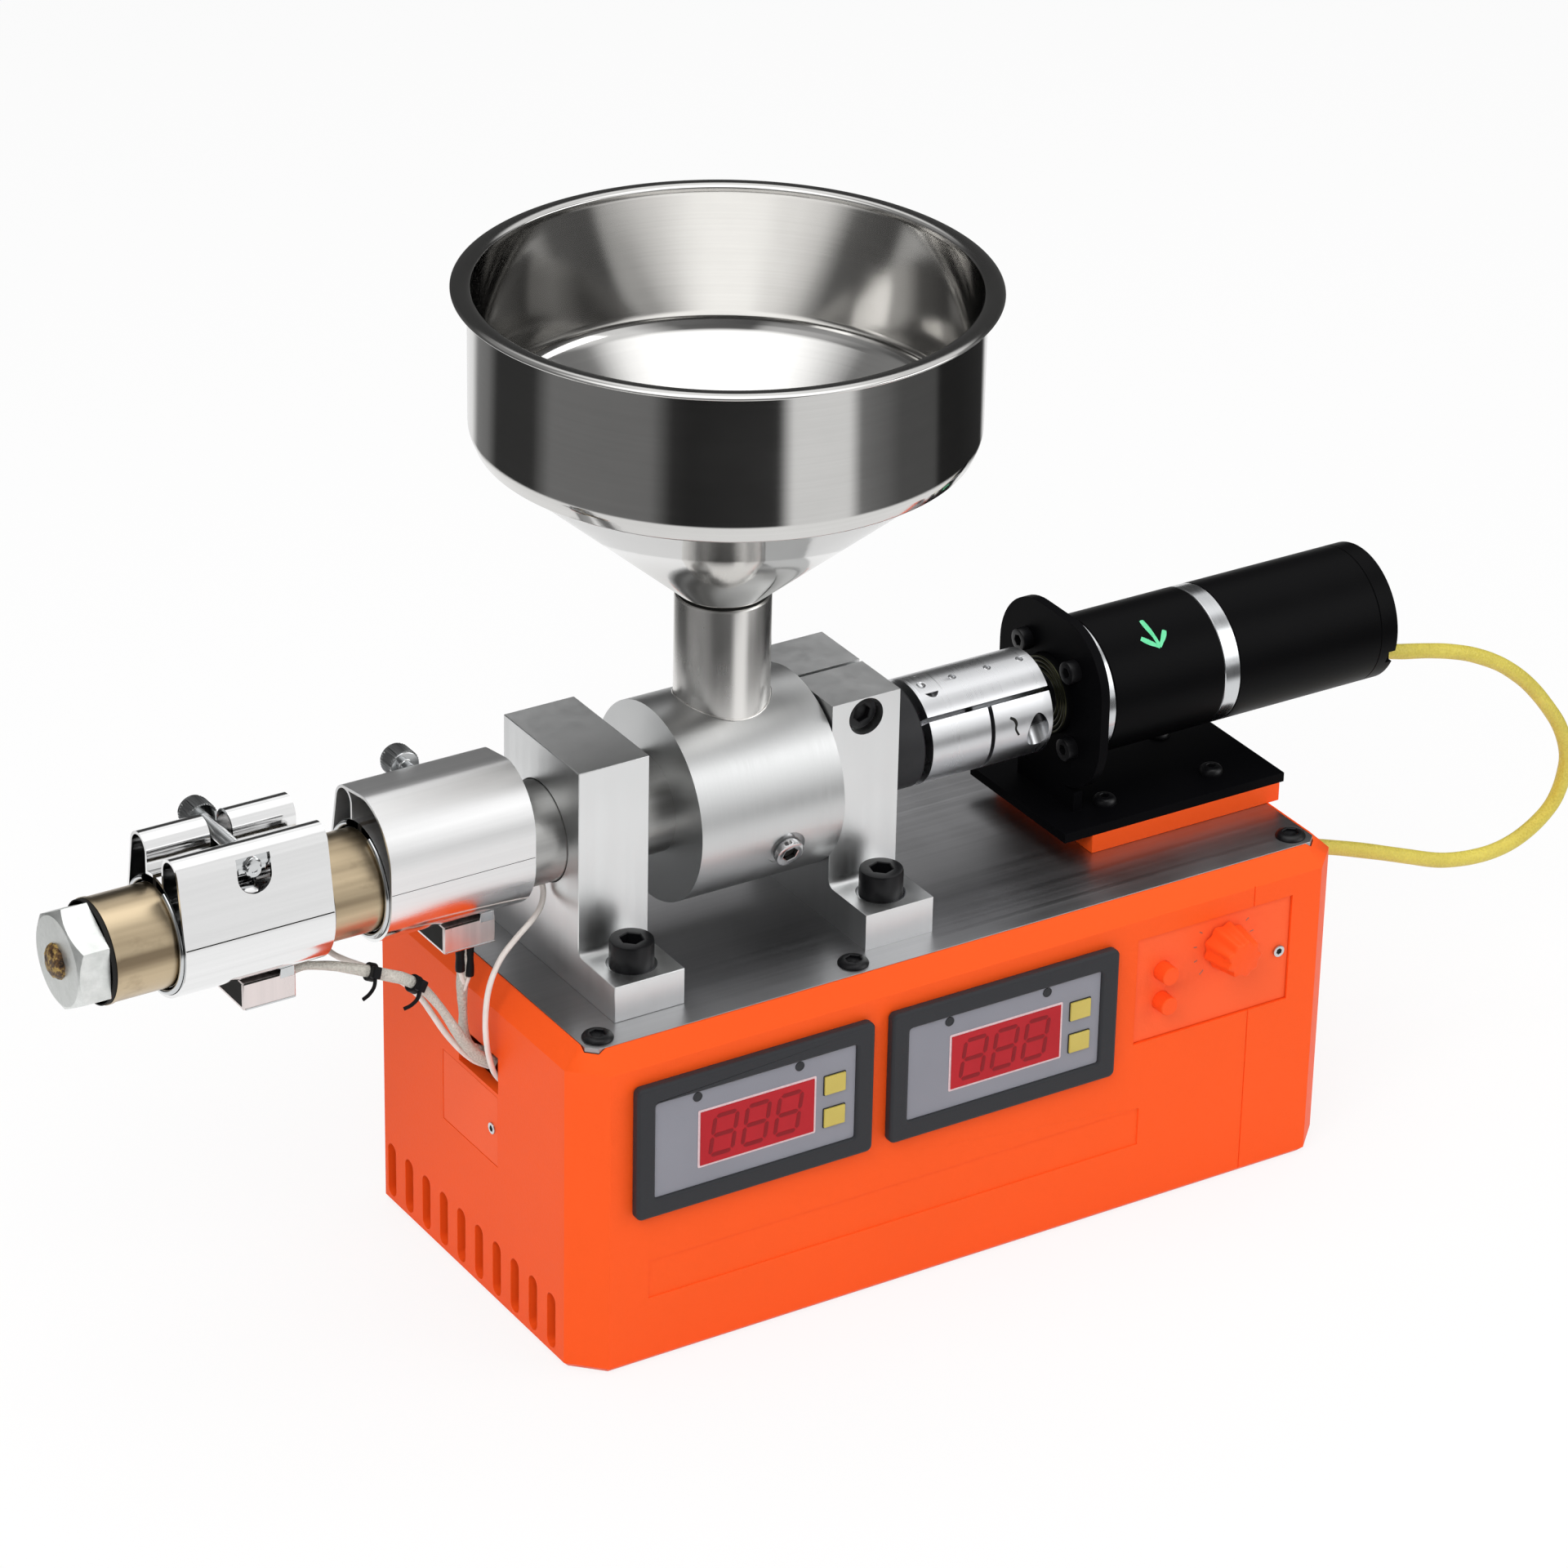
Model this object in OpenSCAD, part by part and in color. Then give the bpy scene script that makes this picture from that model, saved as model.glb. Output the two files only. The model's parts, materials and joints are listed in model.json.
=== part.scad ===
// Desktop filament extruder: a hopper feeds a heated barrel, and a geared motor turns the auger.
// X runs along the barrel towards the motor, Y to the back, Z up. Origin: middle of the underside.

/* [Housing] */
// Length of the housing
body_l = 265; // [220:1:320]
// Depth of the housing
body_w = 126; // [110:1:160]
// Height up to the face of the top plate
body_h = 105; // [100:1:150]
// Flat cut on the upright corners
corner_cut = 9.5; // [4:0.5:14]
// Slope of the top rim
rim_cut = 5.8; // [2:0.2:8]
// Bevel along the bottom edge
foot_cut = 2; // [0.5:0.1:3]
// Thickness of the moulded walls
wall = 3; // [2:0.1:5]
// Place along X of the joint line of the end cover
seam_x = 98.5; // [70:0.5:105]

/* [Plates] */
// Bare rim left round the top plate
plate_rim = 6.5; // [5:0.5:10]
// Thickness of the top plate
plate_t = 3; // [2:0.5:5]
// Width of the ledge under the top plate
ledge_w = 5; // [3:0.5:8]
// Thickness of the base plate
base_t = 2.5; // [1.5:0.5:4]
// Radius of the plate screw holes
plate_hole_r = 1.7; // [1:0.1:2.5]
// Distance of the plate screws from the plate's edge
plate_screw_in = 6; // [5:0.5:10]
// Place along X of the middle plate screws
plate_screw_mid = -35; // [-60:1:60]

/* [Left end] */
// Number of vent slots
vent_count = 10; // [4:1:10]
// Distance between vent slots
vent_pitch = 10.6; // [8:0.1:11]
// Width of a vent slot
vent_w = 4.8; // [3:0.1:6]
// Height of a vent slot
vent_h = 18; // [10:0.5:30]
// Lowest point of the vent slots
vent_z = 3.5; // [3:0.5:20]
// Width of the side cover
cover_w = 32; // [25:1:40]
// Height of the side cover
cover_h = 23; // [15:1:30]
// Height of the middle of the side cover
cover_z = 59; // [45:1:70]
// Width of the opening for the heater leads
lead_hole_w = 23; // [20:0.5:30]
// Height of the opening for the heater leads
lead_hole_h = 12; // [10:0.5:14]
// Middle of the opening along Y
lead_hole_y = -4; // [-8:1:0]
// Middle of the opening along Z
lead_hole_z = 78; // [77:0.5:80]

/* [Temperature controllers] */
// Width of a controller frame
ctrl_w = 79; // [70:1:90]
// Height of a controller frame
ctrl_h = 43; // [36:1:48]
// How far a controller stands out of the housing
ctrl_t = 3.5; // [2:0.5:6]
// Left edge of the first controller
ctrl_x = -116; // [-118:1:-112]
// Distance between the two controllers
ctrl_pitch = 85; // [82:1:95]
// Lowest edge of the controllers
ctrl_z = 51; // [45:1:54]
// Width of the frame round the controller's face
ctrl_frame = 6; // [4:0.5:8]
// Width of the display window
display_w = 38; // [30:1:42]
// Height of the display window
display_h = 17.5; // [14:0.5:20]
// Width of a key
key_w = 7; // [5:0.5:8]
// Height of a key
key_h = 6; // [4:0.5:7]

/* [Control panel] */
// Width of the control panel
panel_w = 55.5; // [50:0.5:60]
// Height of the control panel
panel_h = 35; // [30:1:40]
// Left edge of the control panel
panel_x = 57; // [52:1:60]
// Lowest edge of the control panel
panel_z = 57.5; // [50:0.5:60]
// How far the control panel lies back
panel_sink = 0.8; // [0.4:0.1:1.5]
// Diameter of the speed knob
knob_d = 18; // [14:1:22]
// Length of the speed knob
knob_l = 11; // [8:0.5:16]
// Number of flutes round the knob
knob_flutes = 10; // [6:1:12]
// Diameter of the knob's shaft
knob_shaft_d = 6; // [4:0.5:6]
// Diameter of a push button
button_d = 6; // [4:0.5:8]
// How far a push button stands out
button_l = 5; // [3:0.5:7]
// Travel of a push button
button_travel = 1.5; // [1:0.5:2]

/* [Drive line] */
// Height of the barrel axis above the top plate
axis_up = 42.5; // [40:0.5:55]
// Place of the barrel axis along Y
axis_y = -4.5; // [-12:0.5:12]
// Diameter of the barrel
barrel_d = 30; // [26:1:36]
// Diameter of the auger bore
bore_d = 16; // [12:1:18]
// Length of the barrel in front of the front bracket
barrel_l = 142; // [135:1:170]
// Width across the flats of the nozzle cap
cap_af = 27; // [24:1:30]
// Length of the nozzle cap
cap_l = 9.6; // [8:0.2:16]
// Diameter of the auger's plain end in its bearing
journal_d = 14; // [10:1:15]
// Diameter of the auger's core
core_d = 9; // [8:0.5:11]
// Pitch of the auger's flight
flight_pitch = 13; // [10:0.5:18]
// Thickness of the auger's flight
flight_t = 2; // [1.5:0.1:3]
// Gap between the auger's flight and the bore
flight_gap = 0.5; // [0.3:0.1:1]
// Diameter of the nozzle outlet
outlet_d = 8.4; // [4:0.1:10]
// How far the outlet plug stands out
plug_out = 2.6; // [1:0.2:6]

/* [Brackets and feed] */
// Thickness of a bracket
bracket_t = 23; // [18:1:28]
// Width of a bracket
bracket_w = 42.5; // [36:0.5:50]
// Height of a bracket above the top plate
bracket_h = 70; // [64:1:84]
// Thickness of a bracket's foot
foot_t = 11.5; // [8:0.5:14]
// How far a bracket's foot reaches out
foot_l = 20.5; // [18:0.5:24]
// Diameter of the holes for the foot bolts
foot_bolt_d = 8.4; // [6:0.2:9]
// Left side of the barrel bracket
barrel_bracket_x = -112; // [-114:0.5:-110]
// Radius of the corner between a bracket and its foot
bracket_fillet = 2.5; // [1:0.5:4]
// Left end of the feed block
feed_x = -76.5; // [-78:0.5:-74]
// Length of the feed block
feed_l = 47.6; // [44:0.2:48]
// Diameter of the feed block
feed_d = 60; // [50:1:64]
// Gap between the feed block and the bearing bracket
feed_gap = 0.7; // [0.3:0.1:1.5]
// Diameter of the bearing sleeve
sleeve_d = 32; // [26:1:34]
// How far the bearing sleeve stands out of its bracket
sleeve_out = 13.2; // [10:0.2:16]

/* [Hopper] */
// Place of the hopper axis along X
hopper_x = -52.5; // [-54:0.5:-51]
// Diameter of the stem tube
stem_d = 28; // [24:1:32]
// Bore of the stem tube
stem_bore = 22; // [18:1:24]
// Height of the stem's top above the barrel axis
stem_up = 61.2; // [50:0.1:80]
// Diameter of the hopper bowl
bowl_d = 144.4; // [110:0.2:180]
// Height of the bowl's straight wall
bowl_h = 40; // [30:1:80]
// Diameter of the hopper's neck, where its cone ends
neck_d = 24.4; // [23:0.2:27]
// Growth in radius of the cone for each unit of height
cone_slope = 1.13; // [0.8:0.01:1.3]
// Rounding between the bowl and its cone
bowl_round = 10; // [6:1:16]
// Thickness of the hopper sheet
sheet_t = 1; // [0.8:0.1:1.5]
// Width of the rolled rim
rim_w = 4.8; // [4:0.2:8]

/* [Heaters] */
// Length of a heater band
band_l = 46; // [40:1:50]
// Thickness of a heater band
band_t = 3.2; // [2.5:0.1:4]
// Thickness of its outer sheet
skin_t = 0.9; // [0.6:0.1:1.2]
// Outer radius of the rolled ends of the band
roll_r = 5; // [4:0.1:5.5]
// Distance between the middles of the rolled ends
roll_gap = 19; // [18:0.5:22]
// Height of the middle of the rolled ends above the barrel
roll_rise = 7.3; // [6:0.1:9]
// Left end of the nozzle heater
band_x = -233.5; // [-236:0.5:-230]
// Distance between the heaters
band_pitch = 63.5; // [60:0.5:66]
// Width of a terminal box
box_l = 16.5; // [12:0.5:20]
// Depth of a terminal box along Y
box_w = 16; // [12:1:20]
// Height of a terminal box below its band
box_h = 8.5; // [6:0.5:12]

/* [Motor] */
// Diameter of the gearbox
gear_d = 42.6; // [36:0.2:46]
// Length of the gearbox
gear_l = 46; // [36:1:60]
// Length of the ring between gearbox and motor
ring_l = 5.7; // [3:0.1:8]
// Length of the motor can
can_l = 58.5; // [45:0.5:80]
// Diameter of the output shaft
shaft_d = 8; // [6:1:8]
// Gap between the coupling and the upright motor plate
motor_gap = 9.5; // [8:0.5:12]
// Thickness of the motor plates
mount_t = 3; // [2:0.5:4]
// Width of the motor plates
mount_w = 51; // [46:1:56]
// Width and height of its flange
flange_w = 54; // [50:1:56]
// Radius of the flange's corners
flange_round = 20; // [14:1:22]
// Width of the neck under the flange
neck_w = 30; // [20:1:36]
// Height of the plinth
plinth_h = 6; // [4:0.5:12]
// Length of the plinth
plinth_l = 68.5; // [60:0.5:70]

/* [Coupling] */
// Diameter of the coupling
coupling_d = 32; // [28:1:36]
// Gap between the bearing sleeve and the coupling
coupling_gap = 2.5; // [1.5:0.1:4]
// Length of the coupling
coupling_l = 42; // [36:1:44]
// Width of the clamping slits
slit_w = 1.4; // [0.8:0.1:2]

/* [Fits] */
// Radial play of a running shaft
run_fit = 0.05; // [0.01:0.01:0.1]
// Gap round a piece that is set into another
set_fit = 0.2; // [0.1:0.05:0.4]
// Gap between an outside sleeve and what turns in it
free_fit = 0.4; // [0.3:0.1:0.8]

/* [Hidden] */
big = 400;
eps = 0.01;
face_y = -body_w / 2;
left_x = -body_l / 2;
axis_z = body_h + axis_up;
plate_l = body_l - 2 * plate_rim;
plate_w = body_w - 2 * plate_rim;
cap_x = barrel_bracket_x - barrel_l;
stem_z = axis_z + stem_up;
feed_end = feed_x + feed_l;
bearing_bracket_x = feed_end + feed_gap;
sleeve_end = bearing_bracket_x + bracket_t + sleeve_out;
coupling_x = sleeve_end + coupling_gap;
mount_x = coupling_x + coupling_l + motor_gap;
gear_x = mount_x + mount_t;
ring_x = gear_x + gear_l;
can_x = ring_x + ring_l;
can_end = can_x + can_l;
bracket_bore = barrel_d + 2 * set_fit;
roll_up = barrel_d/2 + roll_rise;

// A rectangle with its four corners cut flat
function cut_points(l, w, cut) = [[-l/2 + cut, -w/2], [l/2 - cut, -w/2], [l/2, -w/2 + cut], [l/2, w/2 - cut],
                                  [l/2 - cut, w/2], [-l/2 + cut, w/2], [-l/2, w/2 - cut], [-l/2, -w/2 + cut]];
module cut_outline(l, w, cut) polygon(cut_points(l, w, cut));

// A block of that outline whose lowest and highest edges slope in all round
module bevelled_block(l, w, h, corner, foot, rim) {
    levels = [[0, foot], [foot, 0], [h - rim, 0], [h, rim]];
    points = [for (v = levels) for (p = cut_points(l - 2 * v[1], w - 2 * v[1], corner - (2 - sqrt(2)) * v[1]))
              [p[0], p[1], v[0]]];
    sides = [for (i = [0 : 2]) for (k = [0 : 7]) let (a = i * 8 + k, b = i * 8 + (k + 1) % 8)
             [a, a + 8, b + 8, b]];
    polyhedron(points, concat([[for (k = [0 : 7]) k]], sides, [[for (k = [31 : -1 : 24]) k]]));
}

// Points along an arc about c, from angle a to angle b
function arc(c, r, a, b, n) = [for (i = [0 : n]) let (t = a + (b - a) * i / n) c + r * [cos(t), sin(t)]];

// A bar along X whose section in Y and Z has round ends, upright
module upright_slot(w, h, l)
    rotate([90, 0, 90]) linear_extrude(l, center = true)
        polygon(concat(arc([0, (h - w) / 2], w / 2, 0, 180, 12), arc([0, (w - h) / 2], w / 2, 180, 360, 12)));

// A cylinder along X from x0, on the barrel axis
module on_axis(x0, d, l)
    translate([x0, axis_y, axis_z]) rotate([0, 90, 0]) cylinder(d = d, h = l, $fn = 96);

// A cylinder along Y whose near end is at y0
module along_y(x, y0, z, d, l)
    translate([x, y0, z]) rotate([-90, 0, 0]) cylinder(d = d, h = l, $fn = 48);

// A plate standing in the XZ plane with rounded corners, its near side at y0
module upright_plate(x, y0, z, w, t, h, r) {
    translate([x + r, y0, z]) cube([w - 2 * r, t, h]);
    translate([x, y0, z + r]) cube([w, t, h - 2 * r]);
    for (cx = [x + r, x + w - r]) for (cz = [z + r, z + h - r]) along_y(cx, y0, cz, 2 * r, t);
}

// Places of the top plate's screws
plate_screws = [for (x = [-plate_l/2 + plate_screw_in, plate_screw_mid, plate_l/2 - plate_screw_in])
                for (y = [-1, 1]) [x, y * (plate_w/2 - plate_screw_in)]];
// Places of the bracket bolts
foot_bolts = [for (x = [barrel_bracket_x, bearing_bracket_x])
              for (y = [-1, 1]) [x + bracket_t/2, axis_y + y * (bracket_w/2 + foot_l/2)]];
// Places of the screws that hold the motor bracket and its plinth
mount_screws = [for (x = [mount_x + 12, mount_x + 51])
                for (y = [-1, 1]) [x, axis_y + y * 14]];

housing_color = "#f9551f";
module housing() color(housing_color) {
    difference() {
        bevelled_block(body_l, body_w, body_h, corner_cut, foot_cut, rim_cut);
        // hollow, with a ledge that carries the top plate
        translate([0, 0, -eps]) linear_extrude(body_h - plate_t - ledge_w + eps)
            cut_outline(body_l - 2 * wall - 2, body_w - 2 * wall, corner_cut);
        linear_extrude(body_h) cut_outline(plate_l - 2 * ledge_w, plate_w - 2 * ledge_w, corner_cut);
        translate([0, 0, body_h - plate_t]) linear_extrude(big)
            cut_outline(plate_l + 2 * set_fit, plate_w + 2 * set_fit, 3);
        // left end: vent slots, side cover pocket and lead hole
        for (i = [0 : vent_count - 1])
            translate([left_x, (i - (vent_count - 1) / 2) * vent_pitch + 1.5, vent_z + vent_h / 2])
                upright_slot(vent_w, vent_h, 12);
        translate([left_x - 1, -cover_w/2 + 1 - set_fit, cover_z - cover_h/2 - set_fit])
            cube([2.2, cover_w + 2 * set_fit, cover_h + 2 * set_fit]);
        translate([left_x, lead_hole_y, lead_hole_z]) cube([12, lead_hole_w, lead_hole_h], center = true);
        // front: controller cut-outs, control panel pocket and name strip
        for (i = [0, 1]) controller_neck(i, set_fit);
        translate([panel_x - set_fit, face_y - 1, panel_z - set_fit])
            cube([panel_w + 2 * set_fit, 1 + panel_sink + 1.6, panel_h + 2 * set_fit]);
        translate([panel_x + 4, face_y - 1, panel_z + 4]) cube([panel_w - 8, wall + 2, panel_h - 8]);
        translate([-110, face_y - 1, 22]) cube([170, 1.4, 12.5]);
        // joint line of the end cover, front and back
        for (y = [-1, 1]) translate([seam_x - 0.2, y * body_w/2 - 0.3, -1]) cube([0.4, 0.6, big]);
        // right end: hole for the motor lead
        translate([body_l/2 - 12, motor_lead_y, motor_lead_z]) rotate([0, 90, 0])
            cylinder(d = motor_lead_d + 1, h = 20, $fn = 32);
    }
}

module base_plate() color("#3a3a3c")
    linear_extrude(base_t) cut_outline(body_l - 2 * wall - 2 - 2 * set_fit,
                                       body_w - 2 * wall - 2 * set_fit, corner_cut);

module top_plate() color("#4d4e50")
    difference() {
        translate([0, 0, body_h - plate_t]) linear_extrude(plate_t) cut_outline(plate_l, plate_w, 3);
        for (p = plate_screws) translate([p[0], p[1], 0]) cylinder(r = plate_hole_r, h = big, $fn = 32);
        for (p = foot_bolts) translate([p[0], p[1], 0]) cylinder(d = foot_bolt_d, h = big, $fn = 32);
        for (p = mount_screws) translate([p[0], p[1], 0]) cylinder(d = 4.4, h = big, $fn = 32);
    }

module side_cover() color("#ff7a4a")
    difference() {
        translate([left_x + 0.1, -cover_w/2 + 1, cover_z - cover_h/2]) cube([1.1, cover_w, cover_h]);
        translate([left_x, -cover_w/2 + 4, cover_z]) rotate([0, 90, 0])
            cylinder(r = 1.2, h = 4, center = true, $fn = 24);
    }

// Knob and buttons on the control panel
panel_front = face_y + panel_sink;
knob_x = panel_x + 31.5;
knob_z = panel_z + 25;
button_x = panel_x + 9.5;
upper_button_z = panel_z + 22.2;
lower_button_z = panel_z + 12;

module control_panel() color("#ff6230")
    difference() {
        translate([panel_x, panel_front, panel_z]) cube([panel_w, 1.6, panel_h]);
        along_y(knob_x, face_y, knob_z, knob_shaft_d + 2 * run_fit, 8);
        for (z = [upper_button_z, lower_button_z])
            along_y(button_x, face_y, z, button_d + 2 * run_fit, 8);
        along_y(panel_x + panel_w - 3.5, face_y, panel_z + 17, 2, 8);
    }

module knob() color("#ff6a2e") {
    difference() {
        along_y(knob_x, panel_front - knob_l - 0.4, knob_z, knob_d, knob_l);
        for (i = [0 : knob_flutes - 1]) rotate_about_knob(i * 360 / knob_flutes)
            along_y(knob_x + knob_d/2 + 1.2, panel_front - knob_l - 1, knob_z, 4.4, knob_l - 1.5);
    }
    along_y(knob_x, panel_front - 0.5, knob_z, knob_shaft_d, 9);
}
module rotate_about_knob(a)
    translate([knob_x, 0, knob_z]) rotate([0, a, 0]) translate([-knob_x, 0, -knob_z]) children();

module push_button(z) color("#ff5a2a") {
    along_y(button_x, panel_front - button_l, z, button_d, button_l + 6);
    along_y(button_x, panel_front + 1.6 + set_fit, z, button_d + 2, 2);
}
module upper_button() push_button(upper_button_z);
module lower_button() push_button(lower_button_z);

// Temperature controllers: neck through the wall, frame, face, display and keys
module controller_neck(i, gap)
    translate([ctrl_x + i * ctrl_pitch + 4 - gap, face_y - 1, ctrl_z + 4 - gap])
        cube([ctrl_w - 8 + 2 * gap, wall + 6, ctrl_h - 8 + 2 * gap]);

module controller_frame(i) color("#3c3d40") {
    x = ctrl_x + i * ctrl_pitch;
    difference() {
        union() {
            upright_plate(x, face_y - ctrl_t, ctrl_z, ctrl_w, ctrl_t, ctrl_h, 2);
            intersection() {
                controller_neck(i, 0);
                translate([x, face_y, 0]) cube([ctrl_w, wall + 5, big]);
            }
        }
        translate([x + ctrl_frame, face_y - ctrl_t - 1, ctrl_z + ctrl_frame])
            cube([ctrl_w - 2 * ctrl_frame, 3, ctrl_h - 2 * ctrl_frame]);
    }
}
module controller_face(i) color("#85858f") {
    x = ctrl_x + i * ctrl_pitch + ctrl_frame;
    translate([x, face_y - ctrl_t + 1, ctrl_z + ctrl_frame])
        cube([ctrl_w - 2 * ctrl_frame, 1, ctrl_h - 2 * ctrl_frame]);
}
module controller_display(i) color("#a5212b") {
    x = ctrl_x + i * ctrl_pitch;
    translate([x + 21, face_y - ctrl_t + 0.6, ctrl_z + 12.2]) cube([display_w, 0.4, display_h]);
}
module controller_keys(i) color("#ebd86a") {
    x = ctrl_x + i * ctrl_pitch;
    for (z = [12.4, 23.2])
        translate([x + 62.4, face_y - ctrl_t + 0.2, ctrl_z + z]) cube([key_w, 0.8, key_h]);
}

module left_controller_frame() controller_frame(0);
module left_controller_face() controller_face(0);
module left_display() controller_display(0);
module left_keys() controller_keys(0);
module right_controller_frame() controller_frame(1);
module right_controller_face() controller_face(1);
module right_display() controller_display(1);
module right_keys() controller_keys(1);

// A bracket: an upright block with a foot in front and behind, and rounded inner corners
module bracket(x, bore) {
    foot = bracket_w/2 + foot_l;
    side = bracket_w/2;
    r = bracket_fillet;
    difference() {
        translate([x, axis_y, body_h]) rotate([90, 0, 90]) linear_extrude(bracket_t)
            polygon(concat([[-foot, 0], [foot, 0], [foot, foot_t]],
                           arc([side + r, foot_t + r], r, 270, 180, 8),
                           [[side, bracket_h], [-side, bracket_h]],
                           arc([-side - r, foot_t + r], r, 360, 270, 8), [[-foot, foot_t]]));
        on_axis(x - 1, bore, bracket_t + 2);
        for (p = foot_bolts) translate([p[0], p[1], 0]) cylinder(d = foot_bolt_d, h = big, $fn = 32);
    }
}
module barrel_bracket() color("#c9cbcd") bracket(barrel_bracket_x, bracket_bore);

module bearing_bracket() color("#c4c6c9")
    difference() {
        bracket(bearing_bracket_x, sleeve_d);
        // clamping slit above the bore, and the counterbored hole of its screw
        translate([bearing_bracket_x - 1, axis_y - slit_w/2, axis_z]) cube([bracket_t + 2, slit_w, big]);
        translate([bearing_bracket_x + bracket_t/2, axis_y - bracket_w/2 - 1, axis_z + 21.5])
            rotate([-90, 0, 0]) { cylinder(d = 11.5, h = 8, $fn = 48); cylinder(d = 6.4, h = 80, $fn = 32); }
    }

module feed_block() color("#cfd1d3")
    difference() {
        on_axis(feed_x, feed_d, feed_l);
        on_axis(feed_x - 1, bore_d, feed_l + 2);
        on_axis(feed_x - 1, barrel_d, 9);
        translate([hopper_x, axis_y, axis_z + 16]) cylinder(d = stem_d, h = big, $fn = 64);
        translate([hopper_x, axis_y, axis_z]) cylinder(d = bore_d, h = 20, $fn = 64);
        // set screw in its spot face
        translate([hopper_x + 5.3, axis_y, axis_z]) rotate([90 + 20, 0, 0]) {
            translate([0, 0, feed_d/2 - 1.2]) cylinder(d = 12, h = 5, $fn = 48);
            translate([0, 0, feed_d/2 - 12]) cylinder(d = 6.2, h = 16, $fn = 32);
        }
    }

module bearing_sleeve() color("#2c2c2e")
    difference() {
        on_axis(bearing_bracket_x, sleeve_d, bracket_t + sleeve_out);
        on_axis(bearing_bracket_x - 1, journal_d + 2 * run_fit, bracket_t + 20);
    }

module barrel() color("#b39a78")
    difference() {
        on_axis(cap_x, barrel_d, feed_x + 8 - cap_x);
        on_axis(cap_x - 1, bore_d, big);
    }

module nozzle_cap() color("#b9bbb8")
    difference() {
        intersection() {
            translate([cap_x - cap_l, axis_y, axis_z]) rotate([0, 90, 0])
                linear_extrude(cap_l) rotate(30)
                    polygon([for (a = [0 : 60 : 300]) cap_af / sqrt(3) * [cos(a + 30), sin(a + 30)]]);
            translate([cap_x - cap_l, axis_y, axis_z]) rotate([0, 90, 0])
                rotate_extrude($fn = 96) polygon([[0, 0], [cap_af/2 - 0.5, 0], [cap_af/2 + 4, 3],
                                                  [cap_af/2 + 4, cap_l], [0, cap_l]]);
        }
        on_axis(cap_x - cap_l - 1, outlet_d, cap_l + 2);
    }

module outlet_plug() color("#3d2a1c") {
    on_axis(cap_x - cap_l - plug_out, outlet_d + 1.6, plug_out);
    on_axis(cap_x - cap_l, outlet_d - 0.1, cap_l);
}

auger_x = cap_x + 4;
flight_r = bore_d/2 - flight_gap;
flight_x = auger_x + 3;
flight_steps = 20;
// One corner of the flight's section: 0 and 1 on its left side, 2 and 3 on its right, 1 and 2 outside
function flight_corner(i, k) =
    let (a = 360 * i / flight_steps, r = k == 1 || k == 2 ? flight_r : core_d/2 + eps)
    [flight_x + flight_pitch * i / flight_steps + (k < 2 ? 0 : flight_t), r * cos(a), r * sin(a)];
// The flight winds round the core from the tip to the far side of the hopper's throat
module auger_flight() {
    n = floor(flight_steps * (feed_end - 8 - flight_x) / flight_pitch);
    translate([0, axis_y, axis_z]) polyhedron(
        [for (i = [0 : n]) for (k = [0 : 3]) flight_corner(i, k)],
        concat([for (i = [0 : n - 1]) for (k = [0 : 3])
                let (a = 4 * i + k, b = 4 * i + (k + 1) % 4) each [[a, b, b + 4], [a, b + 4, a + 4]]],
               [[3, 2, 1, 0], [for (k = [0 : 3]) 4 * n + k]]));
}
module auger() color("#8f8f92") {
    auger_flight();
    on_axis(auger_x, core_d, feed_end - 6 - auger_x);
    on_axis(feed_end - 6, journal_d, sleeve_end - feed_end + 6);
    on_axis(sleeve_end, coupling_bore_d, coupling_x - sleeve_end + coupling_l / 2 - 2);
}

coupling_bore_d = 10;
slit_turn = 143.4;
clamp_in = 5;
module coupling() color("#d3d5d7")
    difference() {
        on_axis(coupling_x, coupling_d, coupling_l);
        on_axis(coupling_x - 1, coupling_bore_d, coupling_l / 2 + 1);
        on_axis(coupling_x + 10, shaft_d, coupling_l);
        // long slit from the bore, and a cross slit down from it, through a third of the section
        translate([coupling_x - 1, axis_y, axis_z]) rotate([slit_turn, 0, 0])
            translate([0, 0, -slit_w/2]) cube([coupling_l + 2, coupling_d, slit_w]);
        translate([coupling_x + coupling_l/2, axis_y, axis_z]) rotate([slit_turn, 0, 0])
            translate([-slit_w/2, -3, 0]) cube([slit_w, coupling_d, coupling_d]);
        // small dimples along the top and the clamp screws' pockets
        for (x = [3.7, 14.5, 26.7, 38.1])
            translate([coupling_x + x, axis_y - 2.8, axis_z + 15.6]) sphere(r = 1.2, $fn = 24);
        translate([coupling_x + coupling_l - clamp_in, axis_y, axis_z]) rotate([slit_turn, 0, 0])
            translate([0, 11, 4]) cylinder(d = 7.5, h = 20, $fn = 32);
        translate([coupling_x + clamp_in, axis_y, axis_z]) rotate([slit_turn, 0, 0])
            translate([0, 11, -4]) rotate([180, 0, 0]) cylinder(d = 7.5, h = 20, $fn = 32);
    }

module output_shaft() color("#a9abad")
    on_axis(coupling_x + coupling_l / 2 + 1, shaft_d, gear_x + 6 - coupling_x - coupling_l / 2 - 1);

module hopper_stem() color("#b8bab9")
    difference() {
        translate([hopper_x, axis_y, axis_z + 16]) cylinder(d = stem_d, h = stem_up - 16, $fn = 64);
        translate([hopper_x, axis_y, axis_z]) cylinder(d = stem_bore, h = big, $fn = 64);
    }

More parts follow.
